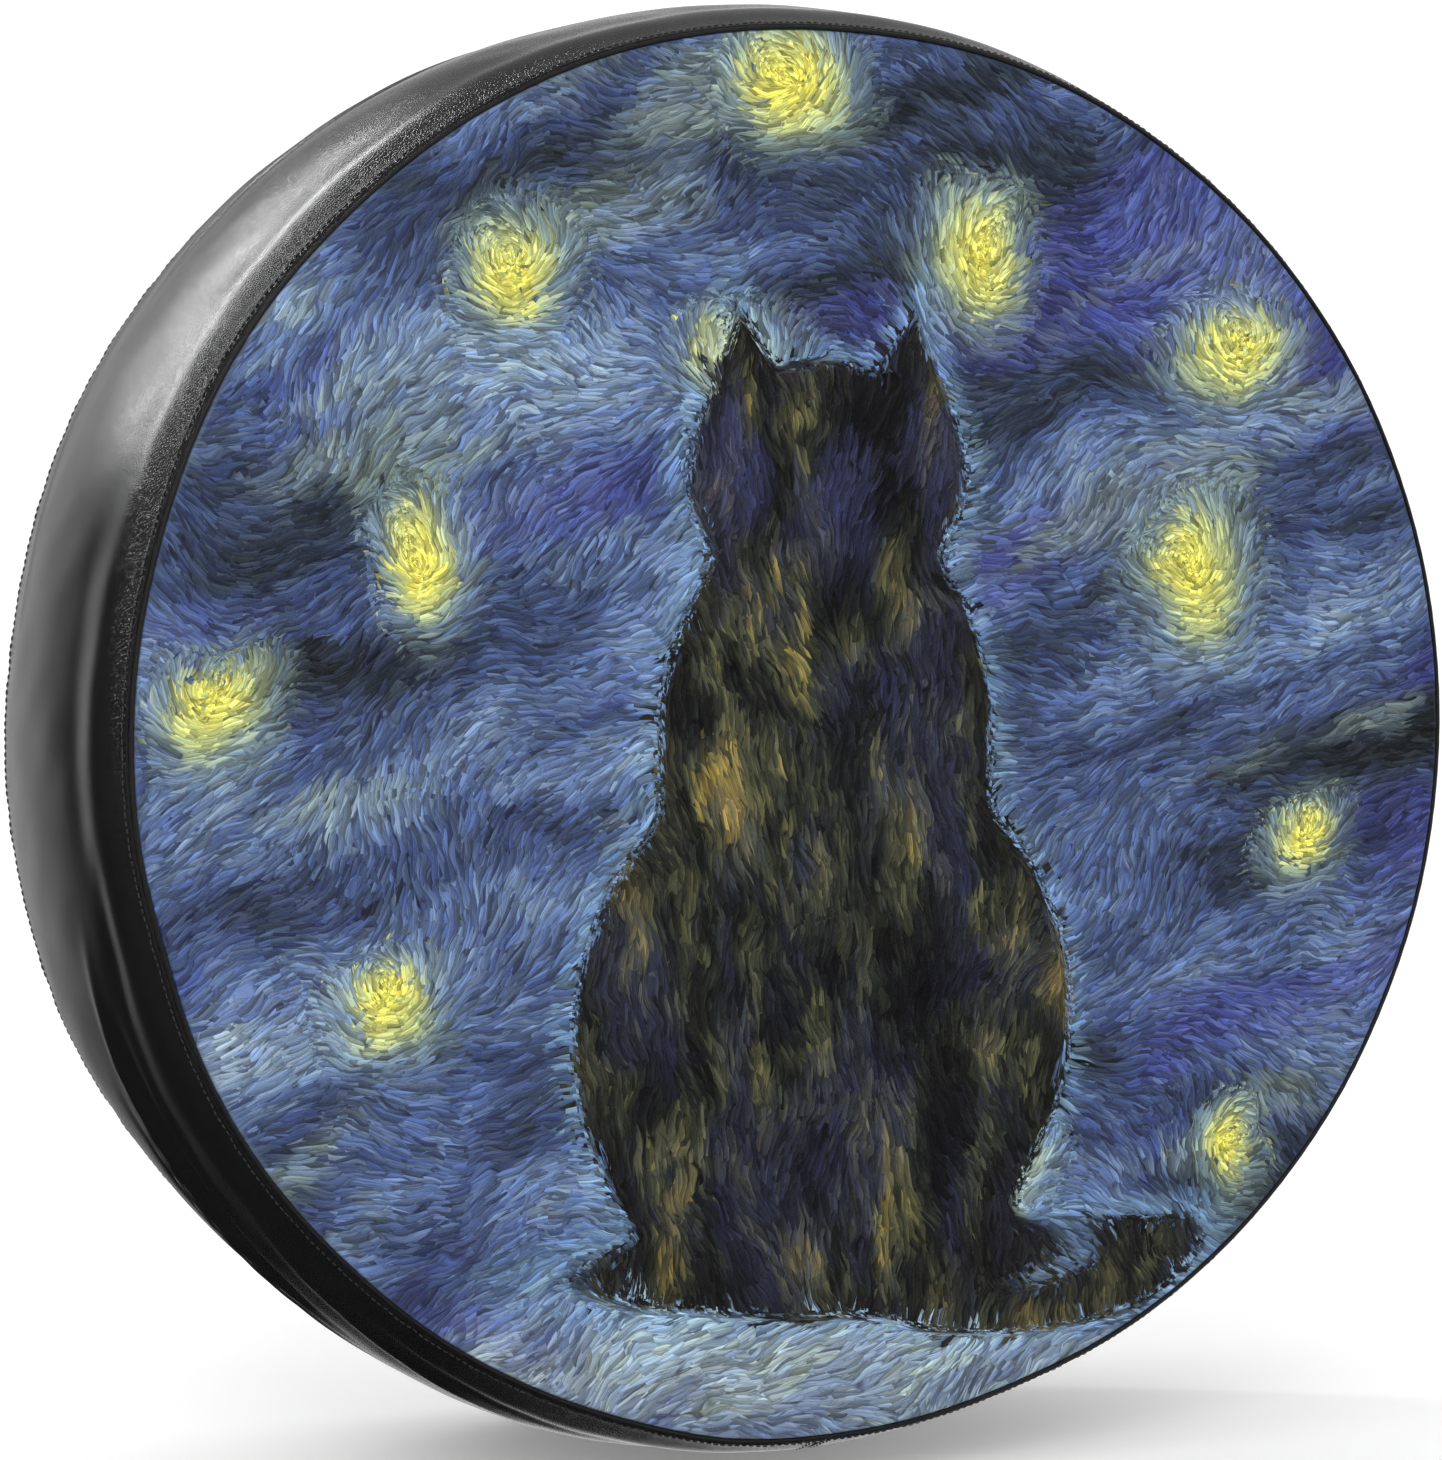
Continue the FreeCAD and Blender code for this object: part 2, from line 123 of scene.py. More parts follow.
def swell(angle, centre_deg, width_deg, height_mm):
    """A smooth bump round the cover, centred at an angle."""
    off = angle_between(angle, math.radians(centre_deg))
    return height_mm * MM * np.exp(-(off / math.radians(width_deg)) ** 2)


def waves(angle, counts, seed):
    """An uneven ripple round the cover, about -1 to 1, from a few whole numbers of waves."""
    phases = np.random.default_rng(seed).uniform(0, TURN, len(counts))
    total = sum(np.cos(count * angle + phase) for count, phase in zip(counts, phases))
    return total / math.sqrt(len(counts))


def round_angles(count):
    """Angles spaced evenly round the axle."""
    return np.arange(count) / count * TURN


def round_axle(radius, y, angle):
    """Points in space from radii, y and angles that broadcast together."""
    radius, y, angle = np.broadcast_arrays(radius, y, angle)
    return np.stack([radius * np.cos(angle), y, radius * np.sin(angle)], axis=-1)


def grid_faces(rows, columns, closed_columns=True, closed_rows=False):
    """Quads of a grid of points, whose normals point along the cross product of row step and column step."""
    row, column = np.meshgrid(np.arange(rows if closed_rows else rows - 1),
                              np.arange(columns if closed_columns else columns - 1), indexing="ij")
    below, beside = (row + 1) % rows, (column + 1) % columns
    corners = [row * columns + column, below * columns + column, below * columns + beside,
               row * columns + beside]
    return np.stack([corner.ravel() for corner in corners], axis=1)


def new_piece(name, points, faces, *materials):
    """A smooth mesh object from an array of points and a list of faces."""
    mesh = bpy.data.meshes.new(name)
    faces = faces.tolist() if hasattr(faces, "tolist") else faces
    mesh.from_pydata(np.asarray(points, float).reshape(-1, 3).tolist(), [], faces)
    for material in materials:
        mesh.materials.append(material)
    mesh.polygons.foreach_set("use_smooth", [True] * len(mesh.polygons))
    mesh.update()
    piece = bpy.data.objects.new(name, mesh)
    bpy.context.scene.collection.objects.link(piece)
    return piece


def belongs(piece, slot, *nodes):
    """Puts a piece on the cover's only body, in the place of its CAD nodes."""
    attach(piece, "root")
    if nodes:
        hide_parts(*nodes)
    return piece


def thicken(piece, thickness):
    """Gives a sheet its thickness, inwards, with its backing as the second material."""
    wall = piece.modifiers.new("thickness", "SOLIDIFY")
    wall.thickness = thickness
    wall.offset = -1
    wall.material_offset = 1
    wall.material_offset_rim = 1


# ---- How far the real, hand-sewn outline strays from a true round ------------------------------------------
def rim_sway(angle):
    """The front seam's wander, outwards."""
    return (swell(angle, 90, 13, -2.2) + swell(angle, 147, 9, 1.6) + swell(angle, 196, 6, -1.4)
            + swell(angle, 212, 8, 1.2) + swell(angle, 261, 7, 1.6) + swell(angle, 287, 9, -2.2)
            + 0.12 * MM * waves(angle, (9, 13, 17, 23), 11))


def tread_sway(angle):
    """The wander of the band over the tread, outwards."""
    return (swell(angle, 250, 13, 4.5) + swell(angle, 206, 9, 1.8) + swell(angle, 290, 12, -2.6)
            + swell(angle, 171, 10, -2.0) + swell(angle, 104, 9, -1.6) + swell(angle, 74, 9, 1.2)
            + 0.12 * MM * waves(angle, (7, 11, 16, 21), 12))


# Long creases in the band: start angle and y, end angle and y, height, half width. Angles in degrees, the
# rest in millimetres. A negative height is a hollow, beside the ridge that it was pushed up from.
CREASES = (
    (100, 42, 150, 30, 1.1, 5.0), (104, 33, 146, 21, -0.8, 6.0),
    (118, 56, 178, 52, 1.0, 4.5), (122, 64, 172, 61, -0.7, 4.0),
    (192, -50, 238, 2, 2.3, 5.0), (196, -63, 238, -12, -2.4, 7.0),
    (203, -26, 246, 28, 1.5, 5.0), (206, -12, 240, 34, -1.2, 6.0), (184, -88, 226, -52, -1.6, 8.0),
    (216, -84, 252, -44, 1.4, 6.0), (224, -94, 262, -62, -1.2, 6.0), (158, -60, 198, -74, -0.4, 9.0),
    (12, -20, 46, -6, 0.9, 6.0), (296, 20, 338, -14, 1.0, 6.0), (300, 8, 336, -24, -0.8, 6.0),
    (52, 40, 84, 54, 0.9, 5.0), (262, 34, 288, 18, 0.8, 6.0),
)


# The soft roll along the band, behind the front seam.
ROLL_HEIGHT, ROLL_WIDTH = 2.3 * MM, 15 * MM
ROLL_Y = FOLD_Y + 26 * MM


def crease_lift(angle, y):
    """The creases' height over the band."""
    total = np.zeros(np.broadcast(angle, y).shape)
    for start, start_y, end, end_y, height, half_width in CREASES:
        along = angle_between(angle, math.radians(start)) / math.radians(end - start)
        line = (start_y + (end_y - start_y) * along + 3.5 * np.sin(along * math.pi)) * MM
        fade = smoothstep(0, 0.3, along) * smoothstep(1, 0.6, along)
        total = total + height * MM * fade * np.exp(-((y - line) / (half_width * MM)) ** 2)
    return total


def band_lift(angle, y):
    """All that lifts the band off its smooth arc: wander, creases, drag lines, and puckers at the seam."""
    back = smoothstep(FOLD_Y, FOLD_Y + 75 * MM, y)
    drags = sum(0.05 * MM * np.cos(count * angle + y / (length * MM) * TURN + count)
                for count, length in ((19, 70), (31, -48), (43, 90), (57, -64)))
    held = smoothstep(FOLD_Y, FOLD_Y + 14 * MM, y) * smoothstep(BAND_REAR_Y, BAND_REAR_Y - 10 * MM, y)
    roll = ROLL_HEIGHT * np.exp(-((y - ROLL_Y) / ROLL_WIDTH) ** 2) * smoothstep(FOLD_Y, FOLD_Y + 16 * MM, y)
    roll = roll * (0.8 + 0.25 * waves(angle, (3, 5, 8), 20))
    pucker = 0.16 * MM * waves(angle, (83, 109, 131, 149), 13) * np.exp(-((y - FOLD_Y) / (11 * MM)) ** 2)
    rear_pucker = 0.2 * MM * waves(angle, (71, 97, 127), 14) * np.exp(-((y - 80 * MM) / (9 * MM)) ** 2)
    sway = rim_sway(angle) * (1 - back) + tread_sway(angle) * back
    return sway + roll + held * (drags + crease_lift(angle, y)) + pucker + rear_pucker


def band_point(angle, y, above=0.0):
    """Points on the band's outside, or above it."""
    reach = BARREL_RADIUS + LEATHER
    turn = np.arcsin((y - CROWN_Y) / reach)
    radius = BARREL_R + (reach + above) * np.cos(turn) + band_lift(angle, y)
    return round_axle(radius, CROWN_Y + (reach + above) * np.sin(turn), angle)


# ---- The skirt and its gathers -----------------------------------------------------------------------------
TUCK_TURN = math.asin((TUCK_Y - CROWN_Y) / BARREL_RADIUS)
TUCK_LENGTH = BARREL_RADIUS * (SHOULDER_START - TUCK_TURN)
SHOULDER_LENGTH = SHOULDER_RADIUS * (TURN / 4 - SHOULDER_START)
SKIRT_WIDTH = TUCK_LENGTH + SHOULDER_LENGTH + SHOULDER_R - SKIRT_EDGE_RADIUS
SKIRT_CUT_RADIUS = BARREL_R + BARREL_RADIUS * math.cos(TUCK_TURN)
SKIRT_MIDDLE_RADIUS = 330 * MM
INSIDE_SHARE = 0.9962                   # of that radius, just inside the leather
HEM_END_RADIUS = 270 * MM
HEM_OFFSET = 0.85 * MM                  # of the hem's legs from the skirt that they hold
THIN_WALL = 0.8 * MM                    # of the hem strip and the tapes
TAPE_GAP = 0.1 * MM
CLOTH_FRAMES = 26
SKIRT_HOLE_RADIUS = 6.6 * MM            # behind each eyelet
EYELET_FLAT_RADIUS = 10.5 * MM          # pressed flat by the eyelet and its washer
PATCH_GAP = 0.04 * MM
ABOVE_EYELET = 30 * MM                  # where the rays that look for the skirt start
EYELET_ANGLES = [math.radians(45 + 90 * quarter) for quarter in range(4)]


def skirt_profile(distance):
    """Radius, y and outward normal of the smooth skirt, by the distance from its edge under the band."""
    on_band = TUCK_TURN + distance / BARREL_RADIUS
    on_shoulder = SHOULDER_START + (distance - TUCK_LENGTH) / SHOULDER_RADIUS
    turn = np.where(distance < TUCK_LENGTH, on_band, np.minimum(on_shoulder, TURN / 4))
    past = np.maximum(distance - TUCK_LENGTH - SHOULDER_LENGTH, 0)
    banded = distance < TUCK_LENGTH
    radius = np.where(banded, BARREL_R + BARREL_RADIUS * np.cos(turn),
                      SHOULDER_R + SHOULDER_RADIUS * np.cos(turn)) - past
    y = np.where(banded, CROWN_Y + BARREL_RADIUS * np.sin(turn), SHOULDER_Y + SHOULDER_RADIUS * np.sin(turn))
    return radius, y, np.cos(turn), np.sin(turn)


def gather(angle, radius):
    """The hem's gathers at a radius: their lift to the back, and their slope round the ring."""
    phase = (86 * angle + 1.6 * np.sin(3 * angle + 1) + 1.1 * np.sin(7 * angle + 2)
             + 0.8 * np.sin(12 * angle + 0.5))
    pace = 86 + 4.8 * np.cos(3 * angle + 1) + 7.7 * np.cos(7 * angle + 2) + 9.6 * np.cos(12 * angle + 0.5)
    size = 0.25 + 0.75 * smoothstep(258 * MM, 272 * MM, radius)
    steep = 1.1 * size * (1 + 0.15 * waves(angle, (5, 11, 19), 15))
    return (steep * SKIRT_EDGE_RADIUS / pace * np.cos(phase),
            -steep * SKIRT_EDGE_RADIUS / radius * np.sin(phase))


def hem_point(angle, radius, offset):
    """Points at a distance from the gathered skirt's outside, square to the gathers."""
    lift, slope = gather(angle, radius)
    square = np.sqrt(1 + slope ** 2)
    return round_axle(radius, BACK_Y + lift + offset / square, angle - offset * slope / square / radius)


def eyelet_centres():
    return [(EYELET_CIRCLE * math.cos(angle), EYELET_CIRCLE * math.sin(angle)) for angle in EYELET_ANGLES]


def from_eyelets(points):
    """Each point's distance from the nearest eyelet's axis."""
    return np.min([np.hypot(points[..., 0] - x, points[..., 2] - z) for x, z in eyelet_centres()], axis=0)


# ---- Node trees --------------------------------------------------------------------------------------------
class Graph:
    """Builds a node tree from short calls. Every value may be a socket or plain."""

    def __init__(self, tree):
        self.tree = tree

    def add(self, kind, **settings):
        node = self.tree.nodes.new(kind)
        for key, value in settings.items():
            setattr(node, key, value)
        return node

    def feed(self, socket, value):
        if isinstance(value, bpy.types.NodeSocket):
            self.tree.links.new(value, socket)
        else:
            socket.default_value = value

    def math(self, operation, *values, clamp=False):
        node = self.add("ShaderNodeMath", operation=operation, use_clamp=clamp)
        for socket, value in zip(node.inputs, values):
            self.feed(socket, value)
        return node.outputs[0]

    def times(self, *values):
        return self.math("MULTIPLY", *values)

    def plus(self, *values):
        return self.math("ADD", *values)

    def minus(self, *values):
        return self.math("SUBTRACT", *values)

    def over(self, *values):
        return self.math("DIVIDE", *values)

    def times_plus(self, value, factor, added):
        return self.math("MULTIPLY_ADD", value, factor, added)

    def vector(self, operation, *values):
        node = self.add("ShaderNodeVectorMath", operation=operation)
        slots = [node.inputs[0], node.inputs["Scale"]] if operation == "SCALE" else node.inputs
        for socket, value in zip(slots, values):
            self.feed(socket, value)
        return node.outputs["Value" if operation in {"LENGTH", "DISTANCE"} else "Vector"]

    def join(self, x, y, z=0.0):
        node = self.add("ShaderNodeCombineXYZ")
        for socket, value in zip(node.inputs, (x, y, z)):
            self.feed(socket, value)
        return node.outputs[0]

    def split(self, vector):
        node = self.add("ShaderNodeSeparateXYZ")
        self.feed(node.inputs[0], vector)
        return node.outputs

    def mix(self, factor, first, second, blend="MIX"):
        node = self.add("ShaderNodeMix", data_type="RGBA", blend_type=blend)
        for index, value in ((0, factor), (6, first), (7, second)):
            self.feed(node.inputs[index], value)
        return node.outputs[2]

    def mix_value(self, factor, first, second):
        node = self.add("ShaderNodeMix", data_type="FLOAT")
        for index, value in ((0, factor), (2, first), (3, second)):
            self.feed(node.inputs[index], value)
        return node.outputs[0]

    def fit(self, value, low, high, to_low=0.0, to_high=1.0, smooth=True):
        node = self.add("ShaderNodeMapRange", interpolation_type="SMOOTHSTEP" if smooth else "LINEAR")
        for socket, given in zip(node.inputs, (value, low, high, to_low, to_high)):
            self.feed(socket, given)
        return node.outputs[0]

    def noise(self, vector, scale, detail=2.0, rough=0.5, output="Fac", dimensions="3D"):
        node = self.add("ShaderNodeTexNoise", noise_dimensions=dimensions)
        self.feed(node.inputs["Vector"], vector)
        for name, value in (("Scale", scale), ("Detail", detail), ("Roughness", rough)):
            self.feed(node.inputs[name], value)
        return node.outputs[output]

    def flat_noise(self, vector, scale, detail=2.0, rough=0.5, output="Fac"):
        return self.noise(vector, scale, detail, rough, output, "2D")

    def voronoi(self, vector, scale, feature="F1"):
        node = self.add("ShaderNodeTexVoronoi", feature=feature, voronoi_dimensions="2D")
        self.feed(node.inputs["Vector"], vector)
        node.inputs["Scale"].default_value = scale
        return node.outputs

    def ramp(self, factor, *stops):
        node = self.add("ShaderNodeValToRGB")
        self.feed(node.inputs[0], factor)
        elements = node.color_ramp.elements
        while len(elements) < len(stops):
            elements.new(0.5)
        for element, (place, colour) in zip(elements, stops):
            element.position = place
            element.color = (*colour, 1)
        return node.outputs[0]

    def bump(self, height, depth, under=None, strength=1.0):
        node = self.add("ShaderNodeBump")
        self.feed(node.inputs["Strength"], strength)
        node.inputs["Distance"].default_value = depth
        self.feed(node.inputs["Height"], height)
        if under is not None:
            self.feed(node.inputs["Normal"], under)
        return node.outputs[0]

    def surface(self, shader, colour, roughness, normal):
        for name, value in (("Base Color", colour), ("Roughness", roughness), ("Normal", normal)):
            self.feed(shader[name], value)

    def from_axle(self, x, z):
        return self.math("SQRT", self.plus(self.times(x, x), self.times(z, z)))

    def place(self):
        return self.add("ShaderNodeTexCoord").outputs["Object"]


def new_material(name, **shader_values):
    """A material with its Principled shader's constants set; gives it, its graph and the shader's inputs."""
    material = bpy.data.materials.new(name)
    material.use_nodes = True
    shader = next(node for node in material.node_tree.nodes if node.type == "BSDF_PRINCIPLED")
    for key, value in shader_values.items():
        shader.inputs[key.replace("_", " ")].default_value = value
    return material, Graph(material.node_tree), shader.inputs


def unrolled(graph, place):
    """The leather's own two directions, in metres: round the cover, and across the strip."""
    x, y, z = graph.split(place)
    radius = graph.from_axle(x, z)
    return graph.join(graph.times(graph.math("ARCTAN2", x, z), UNROLL_RADIUS), graph.minus(y, radius))


def grain(graph, place, cell, depth, strength=1.0):
    """Pebbled leather on a flat place: rounded cells with creases between them. Gives height and normal."""
    push = graph.vector("SCALE", graph.flat_noise(place, 0.25 / cell, 1, output="Color"), cell * 0.9)
    moved = graph.vector("ADD", place, push)
    edge = graph.voronoi(moved, 1 / cell, "DISTANCE_TO_EDGE")["Distance"]
    pebble = graph.fit(edge, 0.0, 0.28)
    fine = graph.flat_noise(place, 3.2 / cell, 2, 0.6)
    height = graph.times_plus(fine, 0.35, pebble)
    return height, graph.bump(height, depth, strength=strength)


def leather_material(name, colour, cell=1.3 * MM, depth=0.10 * MM, gloss=(0.185, 0.22)):
    """Black imitation leather: pebble grain, gloss that wanders, valleys a little duller, and painted shade:
    valleys darker and pebble tops lighter.
    """
    material, graph, shader = new_material(name, Specular_IOR_Level=0.5)
    place = graph.place()
    slack = graph.fit(graph.split(place)[1], FRONT_Y + 30 * MM, FRONT_Y + 10 * MM, 0.3, 1.5)
    height, normal = grain(graph, unrolled(graph, place), cell, depth, slack)
    patches = graph.noise(place, 14, 4, 0.6)
    worn = graph.fit(patches, 0.42, 0.75)
    dark = tuple(part * 0.55 for part in colour)
    light = tuple(part * 1.6 for part in colour)
    # Painted shade: the grain's valleys are darkened and its pebble tops lightened, by the grain's height.
    painted_pebble_shade = graph.ramp(height, (0.0, dark), (0.45, colour), (1.0, tuple(part * 1.2 for part in colour)))
    dull = graph.times_plus(graph.minus(1.0, height), 0.05, graph.fit(patches, 0.3, 0.7, *gloss))
    graph.surface(shader, graph.mix(graph.times(worn, 0.5), painted_pebble_shade, (*light, 1)), dull, normal)
    return material


def woven_material(name, colour, thread=0.6 * MM, depth=0.12 * MM, weave="plain"):
    """A woven or knitted textile: over-and-under threads in the cloth's own two directions, with painted
    shade where the threads dip under.
    """
    material, graph, shader = new_material(name, Sheen_Weight=0.25, Sheen_Roughness=0.5,
                                           Specular_IOR_Level=0.25)
    place = graph.place()
    x, y, z = graph.split(place)
    angle = graph.math("ARCTAN2", z, x)
    radius = graph.from_axle(x, z)
    if weave == "plain":
        across, along = x, z
    else:
        across, along = graph.times(angle, UNROLL_RADIUS), graph.plus(radius, y)
    pitch = math.pi / thread
    warp = graph.math("SINE", graph.times(across, pitch))
    weft = graph.math("SINE", graph.times(along, pitch * (1.0 if weave == "plain" else 0.6)))
    over = graph.fit(graph.times(warp, weft), -0.8, 0.8)
    hair = graph.noise(place, 4500, 3, 0.7)
    height = graph.times_plus(hair, 0.4, over)
    slubs = graph.noise(place, 90, 3)
    dark = tuple(part * 0.6 for part in colour)
    # Painted shade: the threads are darker where they dip under, by the weave's height.
    shade = graph.mix(graph.fit(height, 0.1, 1.2), (*dark, 1), (*colour, 1))
    graph.surface(shader, graph.mix(graph.fit(slubs, 0.45, 0.75, 0, 0.4), shade, (*dark, 1)),
                  graph.fit(slubs, 0.3, 0.7, 0.75, 0.92), graph.bump(height, depth))
    return material


def thread_material(name, colour):
    """Twisted sewing thread, with a painted highlight along the ridges of its twist."""
    material, graph, shader = new_material(name, Specular_IOR_Level=0.4, Sheen_Weight=0.2)
    place = graph.place()
    x, y, z = graph.split(place)
    run = graph.plus(graph.plus(x, z), graph.times(y, 1.7))
    twist = graph.math("SINE", graph.times(run, 11000))
    fuzz = graph.noise(place, 6000, 2, 0.7)
    height = graph.times_plus(fuzz, 0.6, twist)
    # Painted highlight: the twist's ridges are lighter than its hollows.
    painted_twist_highlight = tuple(min(1, part * 1.8) for part in colour)
    graph.surface(shader, graph.mix(graph.fit(height, -0.8, 1.4), (*colour, 1), (*painted_twist_highlight, 1)),
                  graph.fit(fuzz, 0.3, 0.7, 0.45, 0.65), graph.bump(height, 0.06 * MM))
    return material


def nickel_material(name):
    """Pressed nickel-plated brass, with turning marks, finger dullness and a few pits."""
    material, graph, shader = new_material(name, Metallic=1.0)
    place = graph.place()
    smear = graph.noise(place, 160, 4, 0.6)
    pits = graph.fit(graph.noise(place, 2600, 2), 0.66, 0.78)
    plate = graph.ramp(smear, (0.3, (0.46, 0.45, 0.42)), (0.7, (0.66, 0.65, 0.62)))
    brushed = graph.noise(graph.vector("MULTIPLY", place, (1.0, 9.0, 1.0)), 1900, 2)
    dull = graph.times_plus(pits, 0.2, graph.fit(smear, 0.3, 0.7, 0.2, 0.38))
    graph.surface(shader, graph.mix(pits, plate, (0.20, 0.18, 0.15, 1)), dull, graph.bump(brushed, 0.02 * MM))
    return material


# ---- The printed picture: an own, generic design -----------------------------------------------------------
# A painted night sky with soft yellow lights, and a plain seated cat in the middle, seen from behind. All
# places are (x, z) in metres on the panel, and all colours are linear.
GOLDEN_TURN = TURN * (3 - math.sqrt(5)) / 2
GOLDEN_SHARE = (math.sqrt(5) - 1) / 2
LIGHT_COUNT = 20
HIDDEN_LIGHTS = 6                # the innermost, which the cat would cover
LIGHT_FIELD = PANEL_RADIUS * 0.95
LIGHT_SIZES = (0.016, 0.012)     # the smallest light's radius, and how much larger the largest is
GROUND = -0.262
CAT_FORMS = (((0.0, -0.145), (0.134, 0.142)), ((0.0, -0.005), (0.090, 0.125)), ((0.0, 0.128), (0.075, 0.058)),
             ((0.0, -0.262), (0.136, 0.026)))
CAT_EARS = ((-0.045, 0.194, -0.16), (0.045, 0.194, 0.16))
CAT_TAIL = (0.104, -0.262, 0.076)


def scattered_lights():
    """(x, z, radius) of the lights, spread evenly over the sky by the golden angle."""
    lights = []
    for index in range(HIDDEN_LIGHTS, LIGHT_COUNT):
        reach = LIGHT_FIELD * math.sqrt((index + 0.5) / LIGHT_COUNT)
        turn = index * GOLDEN_TURN
        size = LIGHT_SIZES[0] + LIGHT_SIZES[1] * (index * GOLDEN_SHARE % 1.0)
        if reach * math.sin(turn) > GROUND:
            lights.append((reach * math.cos(turn), reach * math.sin(turn), size))
    return lights


LIGHTS = scattered_lights()


def ellipse_gap(graph, place, centre, size):
    """How far outside an ellipse a place is, in metres, negative inside."""
    off = graph.vector("SUBTRACT", place, (*centre, 0))
    scaled = graph.vector("DIVIDE", off, (*size, 1))
    return graph.times(graph.minus(graph.vector("LENGTH", scaled), 1.0), min(size))


def ear_gap(graph, place, x, z, lean):
    """How far outside a pointed ear a place is."""
    px, pz, _ = graph.split(graph.vector("SUBTRACT", place, (x, z, 0)))
    side = graph.minus(graph.math("ABSOLUTE", graph.times_plus(pz, -lean, px)), 0.009)
    slant = graph.times_plus(pz, 0.52, side)
    return graph.math("MAXIMUM", graph.times(slant, 0.9), graph.minus(-0.05, pz))


def cat_gap(graph, place):
    """The distance outside the cat's plain outline."""
    gap = ellipse_gap(graph, place, *CAT_FORMS[0])
    for form in CAT_FORMS[1:]:
        gap = graph.math("SMOOTH_MIN", gap, ellipse_gap(graph, place, *form), 0.022)
    for x, z, lean in CAT_EARS:
        gap = graph.math("SMOOTH_MIN", gap, ear_gap(graph, place, x, z, lean), 0.006)
    x, z, reach = CAT_TAIL
    ring = graph.vector("LENGTH",
                        graph.vector("MULTIPLY", graph.vector("SUBTRACT", place, (x, z, 0)), (1, 2.4, 0)))
    tail = graph.minus(graph.math("ABSOLUTE", graph.minus(ring, reach)), 0.030)
    low = graph.minus(graph.split(place)[1], z + 0.012)
    return graph.math("SMOOTH_MIN", gap, graph.math("MAXIMUM", graph.times(tail, 0.55), low), 0.012)


def loosened(graph, place):
    """Places shifted a little, so that drawn shapes aren't geometric."""
    shift = graph.vector("SUBTRACT", graph.flat_noise(place, 9, 2, output="Color"), (0.5,) * 3)
    return graph.vector("ADD", place, graph.vector("SCALE", shift, 0.05))


def nearest_light(graph, place):
    """The distance to the nearest light, in its own radii."""
    nearest = None
    for x, z, radius in LIGHTS:
        gap = graph.over(graph.vector("DISTANCE", place, (x, z, 0)), radius)
        nearest = gap if nearest is None else graph.math("MINIMUM", nearest, gap)
    return nearest


def picture_group():
    """The picture before it is broken into strokes: colour by place."""
    tree = bpy.data.node_groups.new("picture", "ShaderNodeTree")
    tree.interface.new_socket("Place", in_out="INPUT", socket_type="NodeSocketVector")
    tree.interface.new_socket("Colour", in_out="OUTPUT", socket_type="NodeSocketColor")
    graph = Graph(tree)
    place = graph.add("NodeGroupInput").outputs[0]
    loose = loosened(graph, place)
    x, z, _ = graph.split(loose)

    # The sky, in bands that rise to the right, darker to the right.
    band = graph.join(graph.times_plus(z, 0.5, x), graph.times_plus(x, -0.35, z))
    streaky = graph.vector("MULTIPLY", band, (3.4, 11.0, 1.0))
    tone = graph.flat_noise(streaky, 1.0, 4, 0.62)
    tone = graph.times_plus(graph.fit(x, 0.12, 0.34), -0.045, tone)
    sky = graph.ramp(tone, (0.28, (0.010, 0.014, 0.018)), (0.38, (0.020, 0.031, 0.058)),
                     (0.46, (0.034, 0.054, 0.132)), (0.53, (0.060, 0.096, 0.205)),
                     (0.61, (0.098, 0.150, 0.270)),
                     (0.69, (0.165, 0.240, 0.345)), (0.80, (0.280, 0.370, 0.390)))
    violet = graph.flat_noise(graph.vector("ADD", streaky, (7.0, 3.0, 0.0)), 0.9, 2)
    sky = graph.mix(graph.fit(violet, 0.52, 0.68, 0, 0.6), sky, (0.038, 0.042, 0.215, 1))
    green = graph.flat_noise(graph.vector("ADD", streaky, (1.0, 9.0, 0.0)), 1.3, 2)
    sky = graph.mix(graph.fit(green, 0.60, 0.74, 0, 0.5), sky, (0.170, 0.230, 0.205, 1))

    # Pale ground at the foot.
    ground_line = graph.times_plus(graph.math("SINE", graph.times(x, 16.0)), 0.012, z)
    ground = graph.fit(ground_line, GROUND, GROUND - 0.023)
    pale = graph.mix(graph.fit(tone, 0.42, 0.62), (0.120, 0.165, 0.260, 1), (0.330, 0.420, 0.400, 1))
    sky = graph.mix(graph.times(ground, 0.62), sky, pale)

    # The lights: a yellow heart in a pale green halo.
    gap = nearest_light(graph, loose)
    halo = graph.fit(gap, 2.1, 0.9)
    heart = graph.fit(gap, 1.25, 0.75)
    sky = graph.mix(graph.times(halo, 0.55), sky, (0.205, 0.290, 0.265, 1))
    sky = graph.mix(heart, sky,
                    graph.mix(graph.fit(gap, 0.95, 0.25), (0.330, 0.380, 0.165, 1), (0.560, 0.530, 0.085, 1)))

    # The cat: dark fur with olive, brown and blue flecks, and a pale blue glow round it.
    outside = cat_gap(graph, place)
    glow = graph.fit(outside, 0.016, 0.0)
    sky = graph.mix(graph.times(glow, 0.6), sky, (0.150, 0.265, 0.420, 1))
    fur_place = graph.vector("MULTIPLY", loose, (26.0, 11.0, 1.0))
    fleck = graph.flat_noise(fur_place, 1.0, 4, 0.7)
    fur = graph.ramp(fleck, (0.38, (0.004, 0.004, 0.006)), (0.48, (0.011, 0.013, 0.010)),
                     (0.55, (0.034, 0.038, 0.020)), (0.62, (0.075, 0.072, 0.028)),
                     (0.70, (0.230, 0.170, 0.034)))
    crown = graph.fit(z, 0.02, 0.17)
    blue = graph.flat_noise(graph.vector("ADD", fur_place, (4.0, 8.0, 0.0)), 0.8, 3)
    cool = graph.times(graph.fit(blue, 0.44, 0.64), graph.times_plus(crown, 0.55, 0.3))
    fur = graph.mix(cool, fur, (0.022, 0.027, 0.088, 1))
    edge = graph.times(graph.fit(outside, -0.022, -0.002), 0.55)
    fur = graph.mix(edge, fur, (0.010, 0.009, 0.008, 1))
    colour = graph.mix(graph.fit(outside, 0.002, -0.002), sky, fur)
    graph.feed(graph.add("NodeGroupOutput").inputs[0], colour)
    return tree


